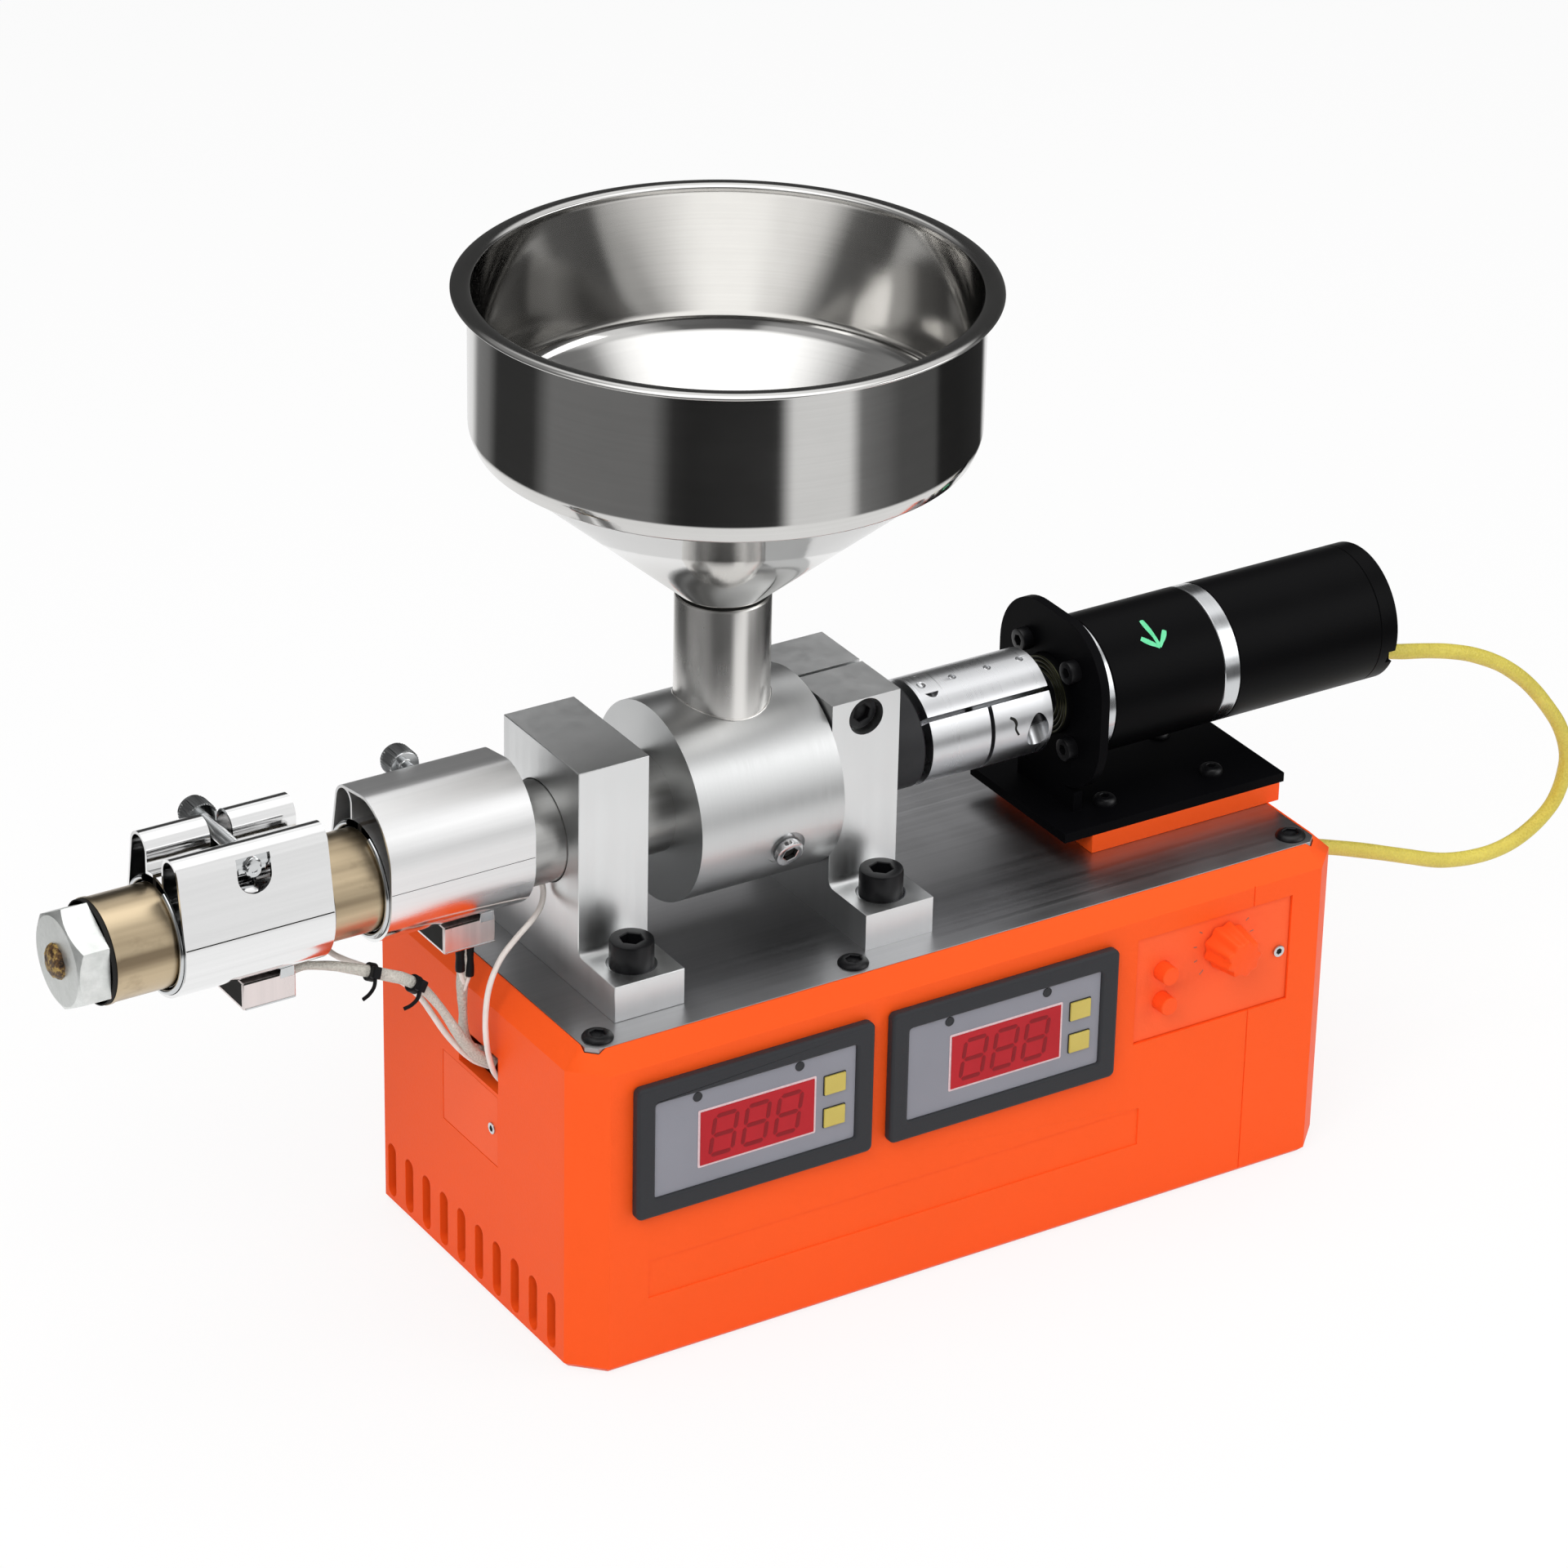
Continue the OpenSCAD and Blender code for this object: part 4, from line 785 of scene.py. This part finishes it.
def addHopper():
    low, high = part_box("hopper")
    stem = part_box("hopper_stem")
    centre = ((low.x + high.x) / 2, (low.y + high.y) / 2)
    outline = bowlOutline(stem[1].z, high.z, (high.x - low.x) / 2)
    place("hopper_sheet", turned(outline, centre, bowl["turns"]), "hopper_steel", stands=("hopper",),
          sharp=50)
    outer, inner, joint = (stem[1].x - stem[0].x) / 2, stemTube["inner"], stemTube["joint"]
    tall, chamfer, mouth = stem[1].z, stemTube["chamfer"], stemTube["mouth"]
    rings = [(stem[0].z, inner), (tall - mouth, inner), (tall, inner + mouth), (tall, outer - chamfer),
             (tall - chamfer * 0.3, outer - chamfer * 0.3), (tall - chamfer, outer), (stem[0].z, outer)]
    place("hopper_stem_tube", turned(rings, centre), "stem_steel", stands=("hopper_stem",), sharp=40)
    # painted shade: a dark ring stands for the shadow in the joint where the cone stands on the stem
    rings = [(tall - 0.2 * mm, bowl["neck"] - 1 * mm), (tall - 0.2 * mm, joint),
             (tall + 0.25 * mm, joint - 0.1 * mm), (tall + 0.5 * mm, bowl["neck"] + 0.2 * mm),
             (tall + 0.5 * mm, bowl["neck"] - 1 * mm)]
    place("neck_joint_shade", turned(rings, centre), "gapDark")
    # weld bead that follows the round block
    blockR = (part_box("feed_block")[1].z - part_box("feed_block")[0].z) / 2
    path = []
    for i in range(73):
        angle = 2 * math.pi * (i % 72) / 72
        across = outer * math.sin(angle)
        path.append(Vector((centre[0] + outer * math.cos(angle), centre[1] + across,
                            lineZ + math.sqrt(blockR ** 2 - across ** 2))))
    bead = tubeAlong(path, lambda share, angle: weld["thick"] + weld["ripple"] * math.sin(share * 190), 8)
    place("stem_bead", bead, "stem_steel", sharp=60)


def addBaseScrews():
    # flush screws that hold the base plate
    low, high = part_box("base_plate")
    inset = 16 * mm
    for i, (x, y) in enumerate([(x, y) for x in (low.x + inset, high.x - inset)
                                for y in (low.y + inset, high.y - inset)]):
        bm = ringed(inMm((0, 3.2), (0.25, 3.3), (0.3, 3.4)), 32, (x, y, low.z), axisZ)
        place("base_screw_%d" % i, bm, "screwSilver")


# bars of a digit: middle across in widths and up in half heights, and whether the bar lies flat
bars = [(0, 1, True), (0.5, 0.5, False), (0.5, -0.5, False), (0, -1, True), (-0.5, -0.5, False),
        (-0.5, 0.5, False), (0, 0, True)]
digit = {"wide": 7.4 * mm, "tall": 6.2 * mm, "thick": 1.3 * mm, "lean": 0.14, "pitch": 10.8 * mm}


def digitBars(x, z, y):
    # the seven bars of one digit, leaning to the right
    parts = []
    for across, up, flat in bars:
        cx, cz = across * digit["wide"], up * digit["tall"]
        half = (digit["wide"] if flat else digit["tall"]) / 2 - 0.35 * mm
        t = digit["thick"] / 2
        outline = [(-half, 0), (-half + t, t), (half - t, t), (half, 0), (half - t, -t), (-half + t, -t)]
        if not flat:
            outline = [(b, a) for a, b in outline]
        spots = [(x + cx + a + (cz + b) * digit["lean"], z + cz + b) for a, b in outline]
        parts.append(cutPlate(spots, y - 0.06 * mm, y + 0.02 * mm))
    return parts


def border(x0, z0, x1, z1, wide, y0, y1, radius):
    # a flat border, wide across, standing in the XZ plane
    outer = roundCorners(x0, z0, x1, z1, radius)
    inner = roundCorners(x0 + wide, z0 + wide, x1 - wide, z1 - wide, max(radius - wide, 0.1 * mm))
    bm = bmesh.new()
    rows = [[bm.verts.new((x, y, z)) for x, z in line]
            for line, y in ((outer, y1), (outer, y0), (inner, y0), (inner, y1))]
    joinRows(bm, rows + rows[:1])
    return bm


meter = {
    "outline": 0.7 * mm, "proud": 0.12 * mm, "lamps": (20 * mm, 54 * mm), "lampUp": 35.2 * mm,
    "lamp": inMm((0, 1.5), (0.25, 1.5), (0.3, 1.35), (0.2, 1.1), (0.25, 0.7), (0.3, 0.1)),
    "keyEdge": 0.3 * mm, "keyTall": 6 * mm, "digitsLeft": 0.5 * mm,
}


def addController(side):
    corner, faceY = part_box(side + "_controller_frame")[0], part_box(side + "_controller_face")[0].y
    (low, high), wide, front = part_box(side + "_display"), meter["outline"], faceY - meter["proud"]
    line = border(low.x - wide, low.z - wide, high.x + wide, high.z + wide, wide, front, faceY, 0.5 * mm)
    place(side + "_outline", line, "inkPale")
    middle = (low + high) / 2
    parts = []
    for i in (-1, 0, 1):
        parts += digitBars(middle.x + i * digit["pitch"] - meter["digitsLeft"], middle.z, low.y)
    place(side + "_digits", joined(parts), "segmentRed", sharp=20)
    for i, along in enumerate(meter["lamps"]):
        spot = (corner.x + along, faceY + 0.05 * mm, corner.z + meter["lampUp"])
        place(side + "_lamp_%d" % i, ringed(meter["lamp"], 28, spot, -axisY), "frame_charcoal")
    (low, high), wide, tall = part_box(side + "_keys"), meter["keyEdge"], meter["keyTall"]
    for i, z in enumerate((low.z, high.z - tall)):
        line = border(low.x - wide, z - wide, high.x + wide, z + tall + wide, wide, front, faceY, 0.4 * mm)
        place(side + "_key_edge_%d" % i, line, "frame_charcoal")


dial = {"ticks": 11, "sweep": 270, "radius": 9.8 * mm, "long": 1.2 * mm, "wide": 0.35 * mm}
grip = {"foot": 7.7 * mm, "face": 6.2 * mm, "shaft": 3 * mm, "clear": 0.4 * mm, "flutes": 9, "deep": 1 * mm}


def addPanel():
    panel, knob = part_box("control_panel"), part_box("knob")
    x, z = (knob[0].x + knob[1].x) / 2, (knob[0].z + knob[1].z) / 2
    parts = []
    for i in range(dial["ticks"]):
        angle = math.radians(dial["sweep"] * (i / (dial["ticks"] - 1) - 0.5))
        out, across = Vector((math.sin(angle), math.cos(angle))), Vector((math.cos(angle), -math.sin(angle)))
        long = dial["long"] * (1.5 if i % 5 == 0 else 1)
        spots = [Vector((x, z)) + out * (dial["radius"] + a * long) + across * (b * dial["wide"] / 2)
                 for a, b in ((0, -1), (0, 1), (1, 1), (1, -1))]
        if max(spot.y for spot in spots) < panel[1].z - 0.3 * mm:
            parts.append(cutPlate([tuple(spot) for spot in spots], panel[0].y - 0.05 * mm,
                                  panel[0].y + 0.05 * mm))
    place("dial_marks", joined(parts), "inkGrey", sharp=20)
    # the knob: a fluted grip that narrows to its face, on its shaft
    whole, sunk = knob[1].y - knob[0].y, knob[1].y - panel[0].y + grip["clear"]
    tall = whole - sunk

    def fluted(share, inset=0.0, deep=1.0):
        reach = grip["foot"] + (grip["face"] - grip["foot"]) * share
        return ridged(reach - inset, grip["deep"] * deep, grip["flutes"], 1.6)

    rings = [(0, grip["shaft"]), (sunk, grip["shaft"]), (sunk, fluted(0, 0.3 * mm)),
             (sunk + 0.3 * mm, fluted(0))]
    rings += [(sunk + (tall - 0.8 * mm) * i / 8, fluted(i / 8)) for i in range(1, 9)]
    rings += [(whole - 0.4 * mm, fluted(1, 0.12 * mm)), (whole - 0.1 * mm, fluted(1, 0.45 * mm, 0.8)),
              (whole, fluted(1, 0.9 * mm, 0.6)), (whole, 0.3 * mm)]
    place("knob_grip", ringed(rings, 144, (x, knob[1].y, z), -axisY), "knob_orange", "speed_knob",
          stands=("knob",), sharp=40)


cap = {"bore": 8 * mm, "gap": 1.3 * mm, "collar": 1.2 * mm}
crust = {
    # height in mm and share of the plug's reach
    "rings": [(0, 1.02), (0.5, 1), (1, 0.98), (1.5, 0.93), (2, 0.8), (2.35, 0.58), (2.5, 0.3), (2.4, 0.02)],
    "deep": 2.6 * mm, "lumps": ((420, 0.55), (1100, 0.3)), "swell": 0.2, "forward": 0.35 * mm,
}


def addLine():
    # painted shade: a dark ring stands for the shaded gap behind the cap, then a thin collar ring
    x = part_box("nozzle_cap")[1].x
    place("cap_gap_shade", washer(x, cap["bore"], barrelR + 0.03 * mm, cap["gap"]), "gapDark")
    place("cap_collar", washer(x + cap["gap"], barrelR - 1 * mm, barrelR + 0.25 * mm, cap["collar"]),
          "barrel_bronze")
    # burnt plastic pressed out of the nozzle
    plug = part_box("outlet_plug")
    reach = (plug[1].y - plug[0].y) / 2
    rings = [(height * mm, reach * share) for height, share in crust["rings"]]
    bm = ringed(rings, 64, onLine(plug[0].x + crust["deep"]), -axisX)
    for vert in bm.verts:
        lump = sum(noise.noise(vert.co * fine) * share for fine, share in crust["lumps"])
        centre = onLine(vert.co.x)
        vert.co = centre + (vert.co - centre) * (1 + crust["swell"] * lump)
        vert.co.x = max(plug[0].x, vert.co.x + crust["forward"] * abs(lump))
    place("outlet_crust", bm, "plug_brown", stands=("outlet_plug",), sharp=80)


heater = {
    "band": 3.2 * mm, "seam": 3.1 * mm, "leanBack": 0.16, "crest": -8 * mm, "shoulder": 19 * mm,
    "rise": 4 * mm, "foldAt": 1.35 * mm, "foldThick": 0.8 * mm, "ends": 7.3 * mm,
}
clampScrew = {
    "back": 7 * mm, "knurl": (4.78 * mm, 0.3 * mm, 36, 1), "start": 1.6 * mm, "pitch": 0.7 * mm,
    "core": 1.5 * mm, "nutFront": 9.5 * mm, "nutLeft": 4.5 * mm, "nutDrop": 1.5 * mm,
    "thread": ((0.15, 1.95), (0.3, 2.2), (0.5, 1.95)),
    "nut": inMm((0, 2.5), (0.4, 2.9), (8.6, 2.9), (9, 2.5)),
    "tip": inMm((0, 2.4), (1.6, 2.4), (2, 2), (2, 0.9), (1.5, 0.6)),
}


def heaterSheet(side):
    bm, finish = solidOf(side + "_heater"), "heater_steel"
    if side == "feed":
        # its hood falls away behind its crest
        finish = "hoodSteel"
        for vert in bm.verts:
            up = min(1, max(0, (vert.co.z - lineZ - heater["shoulder"]) / heater["rise"]))
            vert.co.z -= heater["leanBack"] * up * max(0, vert.co.y - heater["crest"])
    piece = place(side + "_heater_finished", bm, finish, stands=(side + "_heater",),
                  sharp=60)
    softEdges(piece, 0.12 * mm)


def addBand(side):
    low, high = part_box(side + "_heater")
    outer = barrelR + heater["band"]
    for end, (x, way) in enumerate(((low.x, -1), (high.x, 1))):
        # painted shade: a dark ring stands for the shaded gap between the two sheets, and the bright folded
        # end of the inner one
        face = x if way < 0 else x - 0.05 * mm
        gapShade = washer(face, barrelR + 0.05 * mm, outer - 0.9 * mm, 0.05 * mm)
        place("%s_heater_fill_%d" % (side, end), gapShade, "gapDark")
        path = [onLine(x + way * 0.25 * mm, barrelR + heater["foldAt"], 112 + 316 * i / 90)
                for i in range(91)]
        fold = tubeAlong(path, heater["foldThick"], 12)
        place("%s_heater_fold_%d" % (side, end), fold, "clamp_steel", sharp=60)
    # painted shadow: a thin dark strip along the front stands for the shade under the lap of the outer sheet
    face, level = lineY - outer, lineZ + heater["seam"]
    back, front, under = face + 0.06 * mm, face - 0.03 * mm, level - 0.16 * mm
    lap = cutPlate([(back, under), (front, under), (front, level), (back, level)], low.x + 0.2 * mm,
                   high.x - 0.2 * mm, "YZ")
    place(side + "_heater_lap", lap, "gapDark")


def addClamp(side):
    # the knurled head of the screw that draws the rolled ends together
    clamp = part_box(side + "_heater_clamp")
    middle, rise = (clamp[0].x + clamp[1].x) / 2, lineZ + barrelR + heater["ends"]
    near, far = clamp[0].y - clampScrew["start"], clamp[1].y - clampScrew["back"]
    knurl = ridged(*clampScrew["knurl"])
    rings = [(0.3 * mm, 4.3 * mm), (0.6 * mm, knurl), (6.2 * mm, knurl)]
    rings += inMm((6.6, 4.4), (6.9, 3.2), (6.9, 0.2))
    place(side + "_knurl", ringed(rings, 144, (middle, far, rise), axisY), "clamp_steel", sharp=25)
    if side == "feed":
        return
    # thread of the screw between the rolled ends, its tip and the cross nut behind the window
    turns = int((far - near) / clampScrew["pitch"])
    rings = [(0, clampScrew["core"])]
    for i in range(turns):
        start = (far - near) * i / turns
        rings += [(start + height * mm, radius * mm) for height, radius in clampScrew["thread"]]
    place("nozzle_thread", ringed(rings, 32, (middle, near, rise), axisY), "clamp_steel", sharp=60)
    nut, rise = lineY - clampScrew["nutFront"] - 1.2 * mm, rise - clampScrew["nutDrop"]
    place("nozzle_nut", ringed(clampScrew["nut"], 40, (middle - clampScrew["nutLeft"], nut, rise), axisX),
          "clamp_steel", sharp=40)
    place("nozzle_tip", ringed(clampScrew["tip"], 40, (middle, nut - 2.4 * mm, rise), -axisY), "clamp_steel",
          sharp=30)


boxed = {"wall": 0.9 * mm, "lid": 0.4 * mm, "clip": 4.8 * mm, "slit": 5 * mm}


def addTerminalBox(side):
    # the box is open on its left, with a clip at its right and a folded lip along its foot
    low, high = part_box(side + "_terminal_box")
    front, back, top = low.y + boxed["wall"], high.y - boxed["wall"], high.z - boxed["lid"]
    floor = low.z + boxed["wall"]
    # painted shade: a dark sheet across the open left side stands for the shaded inside of the box
    mouth = cutPlate([(front, floor), (back, floor), (back, top), (front, top)], low.x - 0.05 * mm,
                     low.x + 0.05 * mm, "YZ")
    place(side + "_box_mouth", mouth, "gapDark")
    clip = block((high.x - boxed["clip"], low.y - 0.1 * mm, high.z - 1.4 * mm),
                 (high.x - 0.4 * mm, low.y + 0.9 * mm, high.z + 1.6 * mm))
    lip = block((low.x + 0.6 * mm, low.y - 0.2 * mm, low.z), (high.x - 0.2 * mm, low.y, low.z + 0.5 * mm))
    softEdges(place(side + "_box_clip", joined([clip, lip]), "clamp_steel", sharp=30), 0.15 * mm)
    # painted shade: a dark strip in a narrow mouth at the top stands for the shaded inside
    slit = block((low.x + 0.4 * mm, low.y - 0.03 * mm, high.z - 0.5 * mm),
                 (high.x - boxed["slit"], low.y + 0.2 * mm, high.z + 0.02 * mm))
    place(side + "_box_slit", slit, "gapDark")


tie = {"head": (3.4 * mm, 2.6 * mm, 2.2 * mm), "rise": 3.3 * mm, "tail": 7 * mm, "places": (3, 5)}


def addTies():
    # each tie has a square head on its near side and a cut tail that springs away from it
    spots = [Vector(p) * mm for p in leads["nozzle_heater_lead"]["points"]]
    for i in tie["places"]:
        middle, way = (spots[i] + spots[i + 1]) / 2, (spots[i + 1] - spots[i]).normalized()
        out = Vector((0.1, -1, 0.35))
        out = (out - way * out.dot(way)).normalized()
        across = way.cross(out)
        turn = Matrix((across, way, out)).transposed().to_4x4()
        half = [size / 2 for size in tie["head"]]
        head = block([-size for size in half], half)
        head.transform(Matrix.Translation(middle + out * tie["rise"]) @ turn)
        softEdges(place("tie_head_%d" % i, head, "tie_black", sharp=30), 0.4 * mm)
        start = middle + out * tie["rise"] + across * half[0] * 0.6
        path = smoothPath([start, start + across * tie["tail"] * 0.4 + out * 0.5 * mm,
                           start + across * tie["tail"] * 0.75 - way * 0.8 * mm,
                           start + across * tie["tail"] - way * 1.8 * mm - out * 1.2 * mm])
        tail = tubeAlong(path, lambda share, angle: (0.32 + 0.5 * abs(math.cos(angle))) * mm, 12)
        place("tie_tail_%d" % i, tail, "tie_black", sharp=60)


arrow = {
    # strokes of the turning arrow: x in mm and angle round the gearbox
    "shaft": [(89.2, 109), (89.4, 116), (90.0, 125), (90.5, 134)],
    "left": [(85.6, 125.3), (87.3, 129.5), (89.2, 133.5), (90.6, 136)],
    "right": [(94.4, 123.6), (93.4, 127.5), (92.0, 132), (90.5, 136)],
}


def strokeOn(points, radius, wide, thick=0.12 * mm):
    # a brush stroke laid on a round body
    spots = smoothPath([onLine(x * mm, radius, angle) for x, angle in points], 6)
    bm = bmesh.new()
    rows = []
    for i, spot in enumerate(spots):
        way = (spots[min(i + 1, len(spots) - 1)] - spots[max(i - 1, 0)]).normalized()
        out = (spot - onLine(spot.x)).normalized()
        across = way.cross(out).normalized()
        share = i / (len(spots) - 1)
        half = wide / 2 * (0.75 + 0.35 * math.sin(math.pi * min(1, share * 1.3 + 0.1)))
        row = []
        for k in (-1, -0.4, 0.4, 1):
            flat = spot + across * (half * k)
            centre = onLine(flat.x)
            lift = radius + (0.02 * mm if abs(k) == 1 else thick)
            row.append(bm.verts.new(centre + (flat - centre).normalized() * lift))
        rows.append(row)
    joinRows(bm, rows, closed=False)
    return bm


inkMark = [(37.6, 163.5), (39.0, 167), (39.6, 172), (39.4, 178), (40.6, 186)]
skin = {
    # x in mm from the coupling's left end, and angles round it
    "from": 0.6, "long": 8.4, "first": 80, "sweep": 34, "steps": 32, "dimple": (3.7, 100.3),
    "dimpleReach": 1.2 * mm, "flattened": 0.6, "proud": 0.03 * mm, "sunk": -0.05 * mm,
}


def addCouplingMarks():
    low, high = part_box("coupling")
    reach = (high.y - low.y) / 2
    place("coupling_mark", strokeOn(inkMark, reach, 0.9 * mm, 0.03 * mm), "gapDark", "spindle")
    # whole skin over the left end, with the first dimple pressed into it
    bm, rows, steps = bmesh.new(), [], skin["steps"]
    spotX, spotAngle = skin["dimple"]
    for i in range(steps + 1):
        row = []
        for k in range(steps + 1):
            x = low.x + (skin["from"] + skin["long"] * i / steps) * mm
            angle = skin["first"] + skin["sweep"] * k / steps
            away = math.hypot(x - low.x - spotX * mm, math.radians(angle - spotAngle) * reach)
            dip = math.sqrt(max(0, skin["dimpleReach"] ** 2 - away ** 2)) * skin["flattened"]
            lift = skin["proud"] if min(i, k, steps - i, steps - k) else skin["sunk"]
            row.append(bm.verts.new(onLine(x, reach + lift - dip, angle)))
        rows.append(row)
    joinRows(bm, rows, closed=False)
    place("coupling_skin", bm, "coupling_aluminium", "spindle", sharp=70)


motor = {
    "rings": ((7.4, 0.5), (9.0, 0.45), (10.4, 0.5), (11.7, 0.45)),
    "boss": inMm((-0.5, 7.5), (1.6, 7.5), (2.0, 7.1), (2.0, 3.4), (1.4, 3.2), (1.4, 0.1)),
    "rearScrews": (65, 245), "rearReach": 15 * mm,
    "grommet": inMm((-0.3, 4), (1.2, 4), (1.6, 3.6), (1.6, 2.6)),
}


def addMotor():
    # turned rings on the gearbox's boss
    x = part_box("gearbox")[0].x - 0.05 * mm
    rings = [tubeAlong([onLine(x, reach * mm, 360 * i / 72) for i in range(73)], thick * mm, 8)
             for reach, thick in motor["rings"]]
    place("boss_rings", joined(rings), "bossBronze", sharp=60)
    # rear of the motor: bearing boss, two screws and the lead's grommet
    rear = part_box("motor_end_cap")[1].x
    place("rear_boss", ringed(motor["boss"], 64, onLine(rear), axisX), "motor_black")
    for i, angle in enumerate(motor["rearScrews"]):
        socketScrew("rear_screw_%d" % i, "rear", onLine(rear, motor["rearReach"], angle), axisX)
    bm = turned(motor["grommet"], (0, 0), 48)
    bm.transform(Matrix.Translation(Vector(leads["motor_lead"]["points"][0]) * mm) @ toward(axisX))
    place("lead_grommet", bm, "tie_black")


def addArrow():
    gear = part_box("gearbox")
    strokes = [strokeOn(arrow[part], (gear[1].y - gear[0].y) / 2, wide * mm)
               for part, wide in (("shaft", 1.6), ("left", 1.6), ("right", 1.5))]
    place("turning_arrow", joined(strokes), "markGreen", sharp=60)


addSolids()
addBaseScrews()
print("solids finished")
for side in ("left", "right"):
    addController(side)
addPanel()
print("controls made")
addHopper()
addLine()
for side in ("nozzle", "feed"):
    heaterSheet(side)
    addBand(side)
    addClamp(side)
    addTerminalBox(side)
print("extruding line made")
addArrow()
addCouplingMarks()
addMotor()
addTies()
addBolts()
addScrews()
addCouplingScrew()
print("drive and screws made")


studio = {
    "skyFill": 0.5, "floorGlow": 0.84, "reach": 3.4, "paper": 0.92, "mirror": 0.98, "drop": 0.02 * mm,
    "rises": {"high": (0.2, 0.42), "top": (0.54, 0.62)}, "ceilingRise": (0.8, 0.96),
    "mirrorFrom": (0.42, 0.54),
    "lamps": [
        {"name": "key", "at": (-1.0, -0.9, 1.35), "size": 1.0, "watts": 15, "mirrored": False},
        {"name": "side", "at": (1.3, -1.0, 0.9), "size": 1.15, "watts": 7, "mirrored": True},
        {"name": "top", "at": (0.1, 0.2, 1.7), "size": 1.2, "watts": 9, "mirrored": False},
    ],
    # what polished metal sees of the room, going round from +X, in turns: "low" in the floor's
    # mirror, the others at rising heights
    "low": [(0.0, 0.02), (0.085, 0.03), (0.11, 0.9), (0.25, 0.9), (0.275, 0.24), (0.31, 0.2), (0.335, 0.04),
            (0.41, 0.04), (0.44, 0.2), (0.575, 0.19), (0.6, 0.03), (0.62, 0.02), (0.725, 0.03), (0.742, 0.87),
            (0.812, 0.87), (0.828, 0.2), (0.865, 0.14), (0.885, 0.09), (0.945, 0.09), (0.955, 0.02)],
    "horizon": [(0.0, 0.1), (0.25, 0.05), (0.5, 0.3), (0.62, 0.1), (0.75, 0.2), (0.8, 0.9), (0.87, 0.9),
                (0.92, 0.3)],
    "high": [(0.0, 0.16), (0.06, 0.05), (0.22, 0.05), (0.28, 0.1), (0.42, 0.12), (0.52, 0.4),
             (0.6, 0.35), (0.625, 0.1), (0.74, 0.2), (0.8, 0.9), (0.88, 0.85), (0.93, 0.4)],
    "top": [(0.0, 0.85), (0.12, 0.85), (0.15, 1.1), (0.185, 1.1), (0.22, 0.3), (0.36, 0.25), (0.44, 0.2),
            (0.5, 0.5), (0.58, 0.7), (0.605, 0.6), (0.625, 0.12), (0.73, 0.16), (0.8, 0.95),
            (0.88, 0.85), (0.93, 0.25), (0.965, 0.2), (0.985, 0.8)],
    "ceiling": 2.1,
}


def around(look, x, y):
    # the direction of a point in the ground plane, from 0 to 1 going round
    angle = look.node("ShaderNodeMath", {"operation": "ARCTAN2"}, {0: y, 1: x})
    return look.node("ShaderNodeMath", {"operation": "FRACT"}, {0: angle / (2 * math.pi) + 1})


def rays(look):
    return [look.node("ShaderNodeLightPath", out=name)
            for name in ("Is Camera Ray", "Is Glossy Ray", "Is Transmission Ray")]


def addStudio():
    world = bpy.data.worlds.new("studio")
    scene.world = world
    look = Look("studio", owner=world)
    look.tree.nodes.clear()
    spot = look.node("ShaderNodeTexCoord", out="Generated")
    x, y, z = [look.node("ShaderNodeSeparateXYZ", {}, {0: spot}, out=i) for i in range(3)]
    turn = around(look, x, y)
    seen = look.ramp(turn, studio["horizon"])
    for name, (low, high) in studio["rises"].items():
        seen = look.mix(seen, look.ramp(turn, studio[name]), look.step(z, low, high))
    seen = look.mix(seen, (*[studio["ceiling"]] * 3, 1), look.step(z, *studio["ceilingRise"]))
    camera, glossy, clear = rays(look)
    white = (1, 1, 1, 1)
    colour = look.mix((*[studio["skyFill"]] * 3, 1), white, clear)
    colour = look.mix(look.mix(colour, seen, glossy), white, camera)
    back = look.node("ShaderNodeBackground", {}, {"Color": colour, "Strength": 1})
    look.join(look.tree.nodes.new("ShaderNodeOutputWorld").inputs["Surface"], back)
    for lamp in studio["lamps"]:
        data = bpy.data.lights.new(lamp["name"], "AREA")
        data.energy, data.size = lamp["watts"], lamp["size"]
        light = bpy.data.objects.new(lamp["name"], data)
        at = Vector(lamp["at"])
        light.matrix_world = Matrix.Translation(at) @ toward(at - Vector((0, 0, 0.1)))
        light.visible_glossy = lamp["mirrored"]
        scene.collection.objects.link(light)


def addFloor():
    bm = bmesh.new()
    bmesh.ops.create_circle(bm, cap_ends=True, segments=96, radius=studio["reach"])
    bmesh.ops.translate(bm, verts=bm.verts, vec=(0, 0, -studio["drop"]))
    floor = bpy.data.objects.new("floor", meshOf(bm, "floor"))
    scene.collection.objects.link(floor)
    look = Look("floor_paper")
    paper = look.node("ShaderNodeBsdfDiffuse", {}, {"Color": (*[studio["paper"]] * 3, 1)})
    glow = look.node("ShaderNodeEmission", {}, {"Color": (1, 1, 1, 1), "Strength": 1})
    camera, glossy, clear = rays(look)
    x, y = look.axes()[:2]
    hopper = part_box("hopper")
    middle = (hopper[0] + hopper[1]) / 2
    x, y = x - middle.x, y - middle.y
    far = look.node("ShaderNodeMath", {"operation": "SQRT"}, {0: x * x + y * y})
    mirrored = look.mix((1, 1, 1, 1), look.ramp(around(look, x, y), studio["low"]),
                        look.step(far, *studio["mirrorFrom"]))
    reflection = look.node("ShaderNodeEmission", {}, {"Color": mirrored, "Strength": studio["mirror"]})
    lit = look.node("ShaderNodeMixShader", {}, {0: camera * studio["floorGlow"], 1: paper, 2: glow})
    either = look.node("ShaderNodeMath", {"operation": "MAXIMUM"}, {0: glossy, 1: clear})
    whole = look.node("ShaderNodeMixShader", {}, {0: either, 1: lit, 2: reflection})
    look.join(look.tree.nodes["Material Output"].inputs["Surface"], whole)
    floor.data.materials.append(look.owner)


addStudio()
addFloor()
scene.view_settings.view_transform = "Standard"
print("studio lit")
